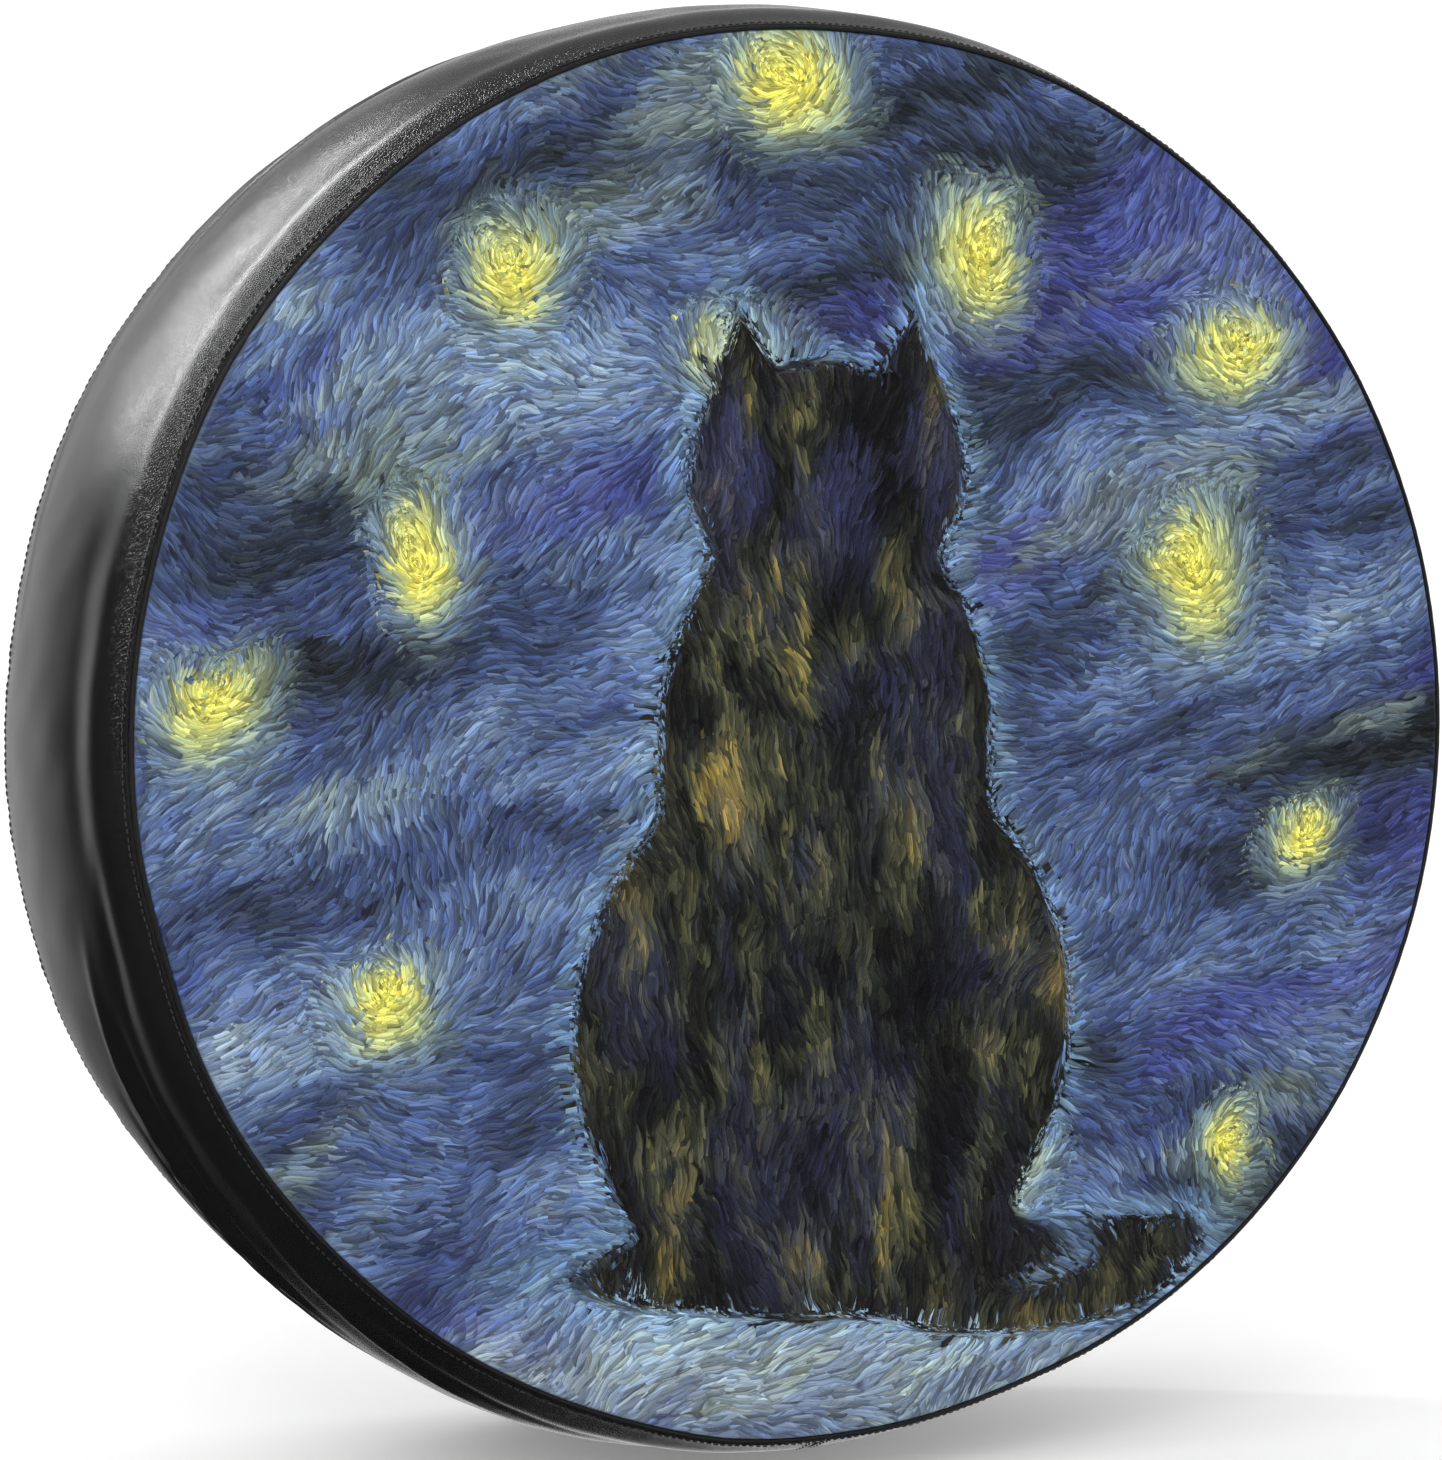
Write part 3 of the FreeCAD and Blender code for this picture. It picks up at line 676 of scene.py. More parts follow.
def flow_angle(graph, place):
    """The direction that the strokes follow: rising bands, swirls round the lights, and fur down the cat."""
    base = graph.times_plus(graph.minus(graph.flat_noise(place, 6.5, 2), 0.5), 5.2, 0.30)
    run_x, run_z = graph.math("COSINE", base), graph.math("SINE", base)
    loose = loosened(graph, place)
    for light_x, light_z, radius in LIGHTS:
        off = graph.vector("SUBTRACT", loose, (light_x, light_z, 0))
        off_x, off_z, _ = graph.split(off)
        far = graph.over(graph.vector("LENGTH", off), radius)
        pull = graph.over(graph.fit(far, 2.1, 1.0, 0.0, 1.5), graph.times(far, radius))
        run_x = graph.times_plus(graph.times(off_z, -1.0), pull, run_x)
        run_z = graph.times_plus(off_x, pull, run_z)
    angle = graph.math("ARCTAN2", run_z, run_x)
    fur = graph.times_plus(graph.minus(graph.flat_noise(place, 12, 2), 0.5), 2.4, -1.45)
    inside = graph.fit(cat_gap(graph, place), 0.003, -0.006)
    return graph.mix_value(inside, angle, fur)


# Each layer of strokes: length and width in millimetres, where its direction steps, how far a stroke takes
# the colour of its middle, how much of the layer is there, and how much its tone varies.
STROKE_LAYERS = (
    (34, 6.5, 0.00, 0.75, 1.00, 0.60),
    (24, 3.8, 0.13, 0.75, 0.72, 0.90),
    (17, 2.6, 0.26, 0.65, 0.60, 1.10),
    (11, 1.9, 0.06, 0.55, 0.42, 1.30),
)
DIRECTION_STEP = TURN / 18


def stroke_layer(graph, picture, place, flow, under, layer, seed):
    """One layer of brush strokes over what is under it: colour and paint height."""
    length, width, offset, grasp, cover, variety = layer
    shift_along, shift_across = seed * 7.3, seed * 3.1
    steps = graph.math("ROUND", graph.over(graph.plus(flow, offset), DIRECTION_STEP))
    angle = graph.minus(graph.times(steps, DIRECTION_STEP), offset)
    run_x, run_z = graph.math("COSINE", angle), graph.math("SINE", angle)
    x, z, _ = graph.split(place)
    along = graph.plus(graph.times(x, run_x), graph.times(z, run_z))
    across = graph.minus(graph.times(z, run_x), graph.times(x, run_z))
    bend = graph.times(graph.minus(graph.flat_noise(place, 38, 1), 0.5), 3.0 * width * MM)
    across = graph.plus(across, bend)
    scaled = graph.join(graph.times_plus(along, 1000 / length, shift_along),
                        graph.times_plus(across, 1000 / width, shift_across))
    cells = graph.voronoi(scaled, 1.0)
    edge = graph.voronoi(scaled, 1.0, "DISTANCE_TO_EDGE")["Distance"]
    middle_along, middle_across, _ = graph.split(cells["Position"])
    middle_along = graph.times(graph.minus(middle_along, shift_along), length * MM)
    middle_across = graph.times(graph.minus(middle_across, shift_across), width * MM)
    middle = graph.join(
        graph.minus(graph.times(middle_along, run_x), graph.times(middle_across, run_z)),
        graph.plus(graph.times(middle_along, run_z), graph.times(middle_across, run_x)))
    toward = graph.vector("SCALE", graph.vector("SUBTRACT", middle, place), grasp)
    sample = graph.add("ShaderNodeGroup", node_tree=picture)
    graph.feed(sample.inputs[0], graph.vector("ADD", place, toward))
    shade, hue, chance = graph.split(cells["Color"])
    bristle_place = graph.vector("MULTIPLY", scaled, (0.9, 7.0, 1.0))
    bristle = graph.flat_noise(bristle_place, 1.0, 2, 0.6)
    gain = graph.times_plus(graph.minus(shade, 0.5), variety, 1.0)
    gain = graph.times(gain, graph.fit(bristle, 0.25, 0.75, 0.62, 1.42, smooth=False))
    gain = graph.times(gain, graph.fit(edge, 0.0, 0.16, 0.45, 1.05))
    lean = graph.minus(graph.split(scaled)[1], graph.split(cells["Position"])[1])
    gain = graph.times(gain, graph.fit(lean, -0.45, 0.45, 0.74, 1.28, smooth=False))
    colour = graph.vector("SCALE", sample.outputs[0], gain)
    warm = graph.mix(hue, (1.12, 1.05, 0.84, 1), (0.88, 0.94, 1.15, 1))
    colour = graph.mix(1.0, colour, warm, "MULTIPLY")
    if under is None:
        return colour
    there = graph.math("LESS_THAN", chance, cover)
    mask = graph.times(there, graph.fit(edge, 0.01, 0.09))
    mask = graph.times(mask, graph.fit(bristle, 0.28, 0.42, 0.35, 1.0))
    return graph.mix(mask, under, colour)


def print_material():
    """The front panel: the picture in brush strokes, printed on finely grained imitation leather, with
    painted shade in the grain and a painted highlight along the rim's fold.
    """
    material, graph, shader = new_material("printed_leather", Specular_IOR_Level=0.24)
    place = graph.place()
    x, _, z = graph.split(place)
    flat = graph.join(x, z)
    picture = picture_group()
    flow = flow_angle(graph, flat)
    colour = None
    for seed, layer in enumerate(STROKE_LAYERS):
        colour = stroke_layer(graph, picture, flat, flow, colour, layer, seed)
    height, normal = grain(graph, flat, 0.9 * MM, 0.05 * MM)
    # Painted shade: the print is darker in the grain's valleys and lighter on its tops.
    painted_print_grain_shade = graph.fit(height, 0.1, 1.2, 0.90, 1.06, smooth=False)
    colour = graph.vector("SCALE", colour, painted_print_grain_shade)
    # Painted highlight: a pale edge along the rim, where the panel turns into its fold.
    rim = graph.vector("LENGTH", flat)
    worn = graph.times(graph.fit(rim, PANEL_RADIUS - 1.6 * MM, PANEL_RADIUS), 0.35)
    graph.surface(shader, graph.mix(worn, colour, (0.12, 0.15, 0.20, 1)),
                  graph.fit(graph.noise(place, 25, 3), 0.3, 0.7, 0.5, 0.62), normal)
    return material


# ---- Stitches ----------------------------------------------------------------------------------------------
STITCH_PITCH = 4.0 * MM
STITCH_LENGTH = 3.1 * MM
THREAD_RADIUS = 0.28 * MM
TOPSTITCH_FROM_FOLD = 2.2 * MM
FRONT_SEAM_Y = -113 * MM
REAR_ROWS_Y = (78.5 * MM, 82 * MM)
CROSS_ROW_OFFSET = 4 * MM
CROSS_ROWS_END = 76 * MM                # just before the rear seam
HEM_ROW_RADIUS = 267 * MM
PATCH_ROW_RADIUS = 15 * MM


def unit(vectors):
    return vectors / np.linalg.norm(vectors, axis=-1, keepdims=True)


def stitches(name, material, centres, along, up):
    """Short arched stitches: one per centre, lying along one direction, with both ends pulled down."""
    rings, sides = 7, 6
    chance = np.random.default_rng(len(centres))
    along = unit(along)
    across = unit(np.cross(along, up))
    along = unit(along + across * chance.normal(0, 0.035, (len(centres), 1)))
    up = unit(np.cross(across, along))
    t = np.linspace(-1, 1, rings)
    rise = THREAD_RADIUS * (0.75 - 1.7 * t ** 4)
    girth = THREAD_RADIUS * np.sqrt(1.02 - t ** 6)
    turn = round_angles(sides)
    reach = STITCH_LENGTH / 2 * (1 + chance.normal(0, 0.04, (len(centres), 1, 1, 1)))
    points = (centres[:, None, None] + along[:, None, None] * t[None, :, None, None] * reach
              + up[:, None, None] * (rise[:, None] + girth[:, None] * np.sin(turn))[None, :, :, None]
              + across[:, None, None] * (girth[:, None] * np.cos(turn))[None, :, :, None])
    tube = grid_faces(rings, sides).tolist()
    tube += [list(range(sides)), list(range((rings - 1) * sides, rings * sides))[::-1]]
    faces = [[corner + stitch * rings * sides for corner in face] for stitch in range(len(centres))
             for face in tube]
    return new_piece(name, points, faces, material)


def stitches_on(name, material, surface, first, second):
    """Stitches on a surface(a, b), each from its first (a, b) to its second, along rows of both."""
    start, end = surface(*first), surface(*second)
    a, b = (first[0] + second[0]) / 2, (first[1] + second[1]) / 2
    middle, tiny = surface(a, b), 1e-4
    up = unit(np.cross(surface(a + tiny, b) - middle, surface(a, b + tiny) - middle))
    outward = middle * (1, 0, 1)
    up = up * np.sign(np.sum(up * (outward + (0, 0.3, 0)), axis=1, keepdims=True))
    return stitches(name, material, middle, end - start, up)


def ring_row(b, radius, lean=0.0):
    """Stitch ends round the cover at one value of the surface's second coordinate."""
    count = int(TURN * radius / STITCH_PITCH)
    a = (np.arange(count) + 0.5) / count * TURN
    half = STITCH_LENGTH / 2 / radius
    return (a - half, np.full(count, b) - lean), (a + half, np.full(count, b) + lean)


def several_rows(*rows):
    """Joins rows of stitch ends into one."""
    return tuple(tuple(np.concatenate([row[end][axis] for row in rows]) for axis in (0, 1)) for end in (0, 1))


def cross_row(offset, low, high):
    """Stitch ends across the cover, beside the cross seam."""
    count = int((high - low) / STITCH_PITCH)
    b = low + (np.arange(count) + 0.5) / count * (high - low)
    a = np.full(count, CROSS_SEAM + offset / CROWN_RADIUS)
    return (a, b - STITCH_LENGTH / 2), (a, b + STITCH_LENGTH / 2)


# ---- The pieces --------------------------------------------------------------------------------------------
def panel_skin(face, backing):
    """The printed panel: a slack, faintly dimpled disc whose rim turns back into the seam."""
    columns = 480
    angle = round_angles(columns)
    flat = PANEL_RADIUS - FOLD_RADIUS
    turn = np.linspace(0, TURN / 4, 6)[1:]
    radius = np.concatenate([flat * np.linspace(0.01, 1, 72) ** 0.8, flat + FOLD_RADIUS * np.sin(turn),
                             np.full(4, PANEL_RADIUS)])[:, None]
    y = np.concatenate([np.full(72, FRONT_Y), FRONT_Y + FOLD_RADIUS * (1 - np.cos(turn)),
                        np.linspace(FRONT_Y + FOLD_RADIUS, LIP_END_Y, 5)[1:]])[:, None]
    x, z = radius * np.cos(angle), radius * np.sin(angle)
    slack = smoothstep(PANEL_RADIUS, PANEL_RADIUS - 40 * MM, radius)
    sag = 0.5 * MM * (np.sin(11 * x + 5 * z + 1) + np.sin(-7 * x + 13 * z + 2)
                      + 0.6 * np.sin(23 * x + 17 * z))
    hub = -1.2 * MM * smoothstep(230 * MM, 90 * MM, radius)
    near_rim = (np.exp(-((radius - PANEL_RADIUS) / (15 * MM)) ** 2)
                * (1 - np.exp(-((radius - flat) / (2 * MM)) ** 2)))
    drag = np.exp(-((radius - PANEL_RADIUS + 22 * MM) / (20 * MM)) ** 2)
    pucker = (0.34 * MM * waves(angle, (83, 109, 131), 13) * near_rim
              + 0.4 * MM * waves(angle, (29, 41, 53), 16) * drag)
    front = y < FRONT_Y + FOLD_RADIUS / 2
    y = y - np.where(front, slack * (sag + hub) + pucker, 0)
    pull = rim_sway(angle) * smoothstep(0.55, 1, radius / PANEL_RADIUS)
    grid = round_axle(radius + pull, y, angle)
    faces = grid_faces(len(radius), columns).tolist()
    middle = grid[0].mean(axis=0)
    points = np.vstack([grid.reshape(-1, 3), middle])
    faces += [[(column + 1) % columns, len(points) - 1, column] for column in range(columns)]
    skin = belongs(new_piece("panel_skin", points, faces, face, backing), "panel", "front_panel")
    thicken(skin, LEATHER)


def piping(leather, cord_fibre):
    """The piping: a bead with its flange hidden in the seam, and the twisted cord inside it."""
    columns = 640
    angle = round_angles(columns)
    centre_r, centre_y = PANEL_RADIUS + PIPING_RADIUS, FRONT_Y + PIPING_RADIUS
    turn = np.radians(np.linspace(97, -195, 18))
    outer, inner = PANEL_RADIUS + PIPING_FLANGE - 0.05 * MM, PANEL_RADIUS + 0.05 * MM
    radius = np.concatenate([[outer, outer], centre_r + PIPING_RADIUS * np.cos(turn),
                             [inner, inner]])[:, None]
    y = np.concatenate([[LIP_END_Y, centre_y + PIPING_RADIUS], centre_y + PIPING_RADIUS * np.sin(turn),
                        [centre_y + PIPING_RADIUS, LIP_END_Y]])[:, None]
    ripple = 1 + 0.05 * waves(angle, (151, 211), 17) * (y < centre_y + PIPING_RADIUS / 2)
    ring = round_axle(centre_r + (radius - centre_r) * ripple + rim_sway(angle),
                      centre_y + (y - centre_y) * ripple,
                      angle)
    faces = grid_faces(len(radius), columns, closed_rows=True)[:, ::-1]
    belongs(new_piece("piping_bead", ring, faces, leather), "piping", "piping_sleeve")

    turn = round_angles(12)[:, None]
    strands = 0.52 * MM * (1 + 0.12 * np.cos(3 * turn + 420 * angle))
    cord = round_axle(centre_r + strands * np.cos(turn) + rim_sway(angle), centre_y + strands * np.sin(turn),
                      angle)
    belongs(new_piece("piping_filler", cord, grid_faces(12, columns, closed_rows=True), cord_fibre), "cord",
            "piping_cord")


def band_skin(leather, backing):
    """The side band: a strip over the tread, folded into the front seam, its ends meeting at the bottom."""
    gap = 0.3 * MM / CROWN_RADIUS
    inset = np.concatenate([[0, 0.5, 1.2, 2.2], np.linspace(4, 2 * math.pi * CROWN_RADIUS / MM - 4, 712)])
    inset = np.concatenate([inset, 2 * math.pi * CROWN_RADIUS / MM - np.array([2.2, 1.2, 0.5, 0])])
    angle = CROSS_SEAM + gap + inset * MM / CROWN_RADIUS * (1 - 2 * gap / TURN)
    from_end = np.minimum(inset, inset[::-1]) * MM
    rolled = -0.9 * MM * np.exp(-(from_end / (0.8 * MM)) ** 2)
    turn = np.linspace(0, math.pi, 7)[:-1]
    lip_y = np.linspace(LIP_END_Y, FOLD_Y, 4)[:-1]
    lip_r = np.full(3, FOLD_R - LEATHER)
    radius = np.concatenate([lip_r, FOLD_R - LEATHER * np.cos(turn)])[:, None]
    y = np.concatenate([lip_y, FOLD_Y - LEATHER * np.sin(turn)])[:, None]
    fold = round_axle(radius + rim_sway(angle), y, angle)
    y = np.concatenate([np.linspace(FOLD_Y + 0.5 * MM, BAND_REAR_Y - 1.5 * MM, 53),
                        [BAND_REAR_Y - 0.5 * MM, BAND_REAR_Y]])
    edge = np.concatenate([np.zeros(53), [-0.1 * MM, -0.35 * MM]])[:, None]
    barrel = band_point(angle[None, :], y[:, None], edge + rolled)
    points = np.concatenate([fold, barrel])
    faces = grid_faces(len(points), len(angle), closed_columns=False)
    skin = belongs(new_piece("band_skin", points, faces, leather, backing), "band_leather", "side_band")
    thicken(skin, LEATHER)


def seam_tape(name, node, across, points_at, rows, webbing):
    """A tape laid over the inside of a cross seam; points_at(offset across, row) is its outer surface."""
    offsets = np.linspace(-across / 2, across / 2, 9)
    points = np.stack([points_at(offset, rows) for offset in offsets], axis=1)
    faces = grid_faces(len(rows), len(offsets), closed_columns=False)
    tape = belongs(new_piece(name, points, faces, webbing, webbing), "tape", node)
    thicken(tape, THIN_WALL)


def worn_skirt(distance, angle):
    """The skirt as worn, flat round the eyelets, and joined to the band's wander."""
    radius, y, normal_r, normal_y = (part[:, None] for part in skirt_profile(distance))
    fade = smoothstep(TUCK_LENGTH + SHOULDER_LENGTH * 0.9, 0.2 * TUCK_LENGTH, distance)[:, None]
    lift = fade * (tread_sway(angle) + 0.2 * MM * waves(angle, (71, 97, 127), 14))
    points = round_axle(radius + lift * normal_r, y + lift * normal_y, angle)
    clear = smoothstep(11 * MM, 24 * MM, from_eyelets(points))
    wave, _ = gather(angle, np.broadcast_to(radius, points.shape[:2]))
    start = smoothstep(TUCK_LENGTH + 0.45 * SHOULDER_LENGTH, TUCK_LENGTH + SHOULDER_LENGTH + 20 * MM,
                       distance)[:, None]
    held = radius <= HEM_END_RADIUS
    rise = np.where(held, wave, wave * start * clear)
    points[..., 1] += rise * normal_y
    points[..., 0] += rise * normal_r * np.cos(angle)
    points[..., 2] += rise * normal_r * np.sin(angle)
    return points


def tyre_form():
    """What the skirt lies on while it is draped: the tyre's shoulder and sidewall, a little inside it."""
    turn = np.linspace(-0.3, TURN / 4, 14)
    reach = SHOULDER_RADIUS - LEATHER - 3.0 * MM
    radius = np.concatenate([SHOULDER_R + reach * np.cos(turn),
                             np.linspace(SHOULDER_R, 236 * MM, 8)[1:]])[:, None]
    y = np.concatenate([SHOULDER_Y + reach * np.sin(turn),
                        SHOULDER_Y + reach - np.linspace(0, 6 * MM, 8)[1:]])[:, None]
    angle = round_angles(192)
    form = new_piece("tyre_form", round_axle(radius, y, angle), grid_faces(len(radius), 192))
    form.modifiers.new("collision", "COLLISION")
    form.collision.thickness_outer = 0.001
    form.collision.damping = 0.5
    form.collision.cloth_friction = 12
    return form


def drape(points, straight, pinned, steps):
    """Lets the gathered skirt settle as cloth that was cut straight; returns the settled points."""
    rows, columns = points.shape[:2]
    cloth = new_piece("draping", points, grid_faces(rows, columns))
    cloth.shape_key_add(name="worn")
    cut = cloth.shape_key_add(name="cut")
    cut.data.foreach_set("co", straight.reshape(-1))
    group = cloth.vertex_groups.new(name="held")
    group.add([int(index) for index in np.flatnonzero(pinned.reshape(-1))], 1.0, "REPLACE")
    form = tyre_form()
    sim = cloth.modifiers.new("cloth", "CLOTH")
    sim.settings.vertex_group_mass = "held"
    sim.settings.rest_shape_key = cut
    sim.settings.quality = 6
    sim.settings.mass = 0.06
    sim.settings.tension_stiffness = sim.settings.compression_stiffness = 30
    sim.settings.shear_stiffness = 12
    sim.settings.bending_stiffness = 1.2
    sim.settings.air_damping = 4
    sim.settings.tension_damping = sim.settings.compression_damping = 15
    sim.settings.effector_weights.gravity = 0.25
    sim.collision_settings.distance_min = 0.001
    sim.collision_settings.use_self_collision = False
    sim.point_cache.frame_start, sim.point_cache.frame_end = 1, steps
    scene = bpy.context.scene
    for step in range(1, steps + 1):
        scene.frame_set(step)
    settled = cloth.evaluated_get(bpy.context.evaluated_depsgraph_get()).to_mesh()
    result = np.empty(rows * columns * 3)
    settled.vertices.foreach_get("co", result)
    for thing in (cloth, form):
        bpy.data.objects.remove(thing)
    scene.frame_set(1)
    return result.reshape(rows, columns, 3)


def skirt_points():
    """The grid of the finished skirt's outside."""
    columns, rows = 720, 38
    angle = round_angles(columns)
    distance = np.linspace(0, SKIRT_WIDTH, rows)
    worn = worn_skirt(distance, angle)
    straight = round_axle(SKIRT_CUT_RADIUS, TUCK_Y + distance[:, None], angle[None, :])
    radius = skirt_profile(distance)[0][:, None]
    pinned = ((distance[:, None] < 9 * MM) | (radius <= HEM_END_RADIUS)
              | (from_eyelets(worn) < EYELET_FLAT_RADIUS))
    return drape(worn, straight, pinned, CLOTH_FRAMES), distance


def rear_skirt(leather, backing):
    """The skirt: a straight strip drawn in by the hem, so that it turns over the shoulder and gathers."""
    points, distance = skirt_points()
    rows, columns = points.shape[:2]
    to_seam = np.abs(angle_between(round_angles(columns), CROSS_SEAM))
    groove = -0.7 * MM * (to_seam < 0.6 * TURN / columns)
    _, _, normal_r, normal_y = skirt_profile(distance)
    ray = points * (1, 0, 1)
    ray /= np.linalg.norm(ray, axis=2, keepdims=True)
    outward = ray * normal_r[:, None, None] + np.array((0, 1, 0)) * normal_y[:, None, None]
    points = points + outward * groove[None, :, None]
    faces = grid_faces(rows, columns)
    middles = points.reshape(-1, 3)[faces].mean(axis=1)
    faces = faces[from_eyelets(middles) > SKIRT_HOLE_RADIUS]
    skirt = belongs(new_piece("rear_skirt_skin", points, faces, leather, backing), "band_leather",
                    "rear_skirt")
    thicken(skirt, LEATHER)
    return points, distance


def hem_tunnel(leather, backing):
    """The hem: a strip folded over the elastic and scrunched with it, its legs round the skirt's edge."""
    columns = 900
    angle = round_angles(columns)
    centre_y = (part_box("hem_elastic")[0].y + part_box("hem_elastic")[1].y) / 2
    leg = np.array([270, 268.5, 267, 265.5, 264, 262.5, 261, 259.5, 258, 255.5, 253]) * MM
    lift, slope = gather(angle[None, :], leg[:, None])
    lean = lift / (3.2 * MM)
    blend = smoothstep(258.2 * MM, 265 * MM, leg)[:, None]
    wrinkle = 0.35 * MM * waves(angle, (147, 171, 203), 18)[None, :]
    square = np.sqrt(1 + slope ** 2)
    sides = []
    for side, offset in ((-1, -LEATHER - HEM_OFFSET), (1, HEM_OFFSET)):
        tube = centre_y + side * (2.1 * MM + 1.5 * MM * (0.5 + 0.5 * side * lean)) + wrinkle
        on_leg = BACK_Y + lift + offset / square
        y = blend * on_leg + (1 - blend) * tube
        shift = blend * offset * slope / square / leg[:, None]
        sides.append(round_axle(leg[:, None], y, angle[None, :] - shift))
    front, back = sides
    turn = np.linspace(-TURN / 4, TURN / 4, 9)[1:-1][:, None]
    low, high = front[-1][:, 1], back[-1][:, 1]
    ripple = 0.6 * MM * np.maximum(waves(angle, (86, 61, 113), 19) + 1.0, 0)
    edge_r = leg[-1] - (leg[-1] - MOUTH_RADIUS + ripple) * np.cos(turn)
    edge = round_axle(edge_r, (low + high) / 2 + (high - low) / 2 * np.sin(turn), angle)
    points = np.concatenate([front, edge, back[::-1]])
    faces = grid_faces(len(points), columns)[:, ::-1]
    hem = belongs(new_piece("hem_tunnel", points, faces, leather, backing), "band_leather", "hem_casing")
    thicken(hem, THIN_WALL)


def skirt_hit(skirt_tree, x, z):
    """Where a ray from behind meets the skirt at (x, z), and the normal there."""
    start = Vector((x, BACK_Y + ABOVE_EYELET, z))
    return skirt_tree.ray_cast(start, Vector((0, -1, 0)), 2 * ABOVE_EYELET)[:2]


def patches(leather, skirt_tree):
    """The four reinforcement discs, on the inside of the skirt behind the eyelets."""
    columns, radii = 48, np.array([6.2, 8, 10, 12, 14, 15.5, 17, 18]) * MM
    angle = round_angles(columns)
    for number, (x, z) in enumerate(eyelet_centres(), 1):
        points = []
        for radius in radii:
            for turn in angle:
                beside, over = x + radius * math.cos(turn), z + radius * math.sin(turn)
                hit, normal = skirt_hit(skirt_tree, beside, over)
                within = radius < EYELET_FLAT_RADIUS or hit is None
                points.append((beside, BACK_Y - LEATHER - PATCH_GAP, over) if within
                              else hit - normal * math.copysign(LEATHER + PATCH_GAP, normal.y))
        disc = new_piece(f"eyelet_patch_{number}", points, grid_faces(len(radii), columns)[:, ::-1], leather,
                         leather)
        belongs(disc, "band_leather", f"grommet_patch_{number}")
        thicken(disc, LEATHER)


def patch_stitches(thread, skirt_tree):
    """The ring of stitches that holds each patch, as it shows on the outside of the skirt."""
    radius = PATCH_ROW_RADIUS
    count = int(TURN * radius / STITCH_PITCH)
    centres, along, up = [], [], []
    for x, z in eyelet_centres():
        for turn in round_angles(count):
            hit, normal = skirt_hit(skirt_tree, x + radius * math.cos(turn), z + radius * math.sin(turn))
            normal = normal * math.copysign(1, normal.y)
            direction = Vector((-math.sin(turn), 0, math.cos(turn)))
            centres.append(hit)
            along.append(direction - normal * direction.dot(normal))
            up.append(normal)
    row = stitches("patch_stitches", thread, np.array(centres), np.array(along), np.array(up))
    belongs(row, "thread", "grommet_patch_thread")


def sewn_rows(thread, on_skirt, distance):
    """All the other rows of stitches, each on the surface that it closes."""
    front = ring_row(FOLD_Y + TOPSTITCH_FROM_FOLD, CROWN_RADIUS)
    belongs(stitches_on("front_topstitches", thread, band_point, *front), "thread", "front_topstitch_thread")

    def lip(angle, y):
        return round_axle(PANEL_RADIUS - LEATHER + rim_sway(angle), y, angle)

    hidden = ring_row(FRONT_SEAM_Y, PANEL_RADIUS)
    belongs(stitches_on("front_seam_stitches", thread, lip, *hidden), "thread", "front_seam_thread")
    rear = several_rows(*(ring_row(y, CROWN_RADIUS) for y in REAR_ROWS_Y))
    belongs(stitches_on("rear_seam_stitches", thread, band_point, *rear), "thread", "rear_seam_thread")
    sides = [cross_row(side * CROSS_ROW_OFFSET, FOLD_Y + 5 * MM, CROSS_ROWS_END) for side in (-1, 1)]
    belongs(stitches_on("band_seam_stitches", thread, band_point, *several_rows(*sides)), "thread",
            "band_seam_thread")

    def hem_back(angle, radius):
        return hem_point(angle, radius, 0.87 * MM)

    belongs(stitches_on("hem_stitches", thread, hem_back, *ring_row(HEM_ROW_RADIUS, HEM_ROW_RADIUS)),
            "thread", "hem_thread")
    belongs(skirt_cross_rows(thread, on_skirt, distance), "thread", "skirt_seam_thread")


def skirt_sampler(skirt, distance):
    """A smooth surface(angle, distance) through the skirt's grid."""
    rows, columns = skirt.shape[:2]

    def sample(angle, along):
        column = (np.asarray(angle) % TURN) / TURN * columns
        row = np.clip(np.asarray(along) / distance[-1] * (rows - 1), 0, rows - 1.001)
        left, top = np.floor(column).astype(int), np.floor(row).astype(int)
        across, down = (column - left)[..., None], (row - top)[..., None]
        left, right = left % columns, (left + 1) % columns
        upper = skirt[top, left] * (1 - across) + skirt[top, right] * across
        lower = skirt[top + 1, left] * (1 - across) + skirt[top + 1, right] * across
        return upper * (1 - down) + lower * down

    return sample


def skirt_cross_rows(thread, surface, distance):
    """The two rows beside the skirt's cross seam."""
    low, high = 10 * MM, distance[-1] - 10 * MM
    count = int((high - low) / STITCH_PITCH)
    middle = low + (np.arange(count) + 0.5) / count * (high - low)
    radius = skirt_profile(middle)[0]
    starts, ends, ups = [], [], []
    for side in (-1, 1):
        angle = CROSS_SEAM + side * CROSS_ROW_OFFSET / radius
        starts.append(surface(angle, middle - STITCH_LENGTH / 2))
        ends.append(surface(angle, middle + STITCH_LENGTH / 2))
        ups.append(np.cross(surface(angle + 0.004, middle) - surface(angle - 0.004, middle),
                            ends[-1] - starts[-1]))
    start, end, up = np.concatenate(starts), np.concatenate(ends), unit(np.concatenate(ups))
    up = up * np.sign(up[:, 1:2] + up[:, 2:3] * -1)
    return stitches("skirt_seam_stitches", thread, (start + end) / 2, end - start, up)


# ---- The studio --------------------------------------------------------------------------------------------
def soft_light(name, place, target, size, power, run=(1, 0, 0), glossy=True):
    """A soft area light, not seen by the camera, with its width along one direction."""
    data = bpy.data.lights.new(name, "AREA")
    data.shape = "RECTANGLE"
    data.size, data.size_y = size
    data.energy = power
    light = bpy.data.objects.new(name, data)
    away = (Vector(place) - Vector(target)).normalized()
    width = (Vector(run) - away * away.dot(Vector(run))).normalized()
    turned = Matrix((width, away.cross(width), away)).transposed().to_4x4()
    light.matrix_world = Matrix.Translation(place) @ turned
    light.visible_camera = False
    light.visible_glossy = glossy
    bpy.context.scene.collection.objects.link(light)


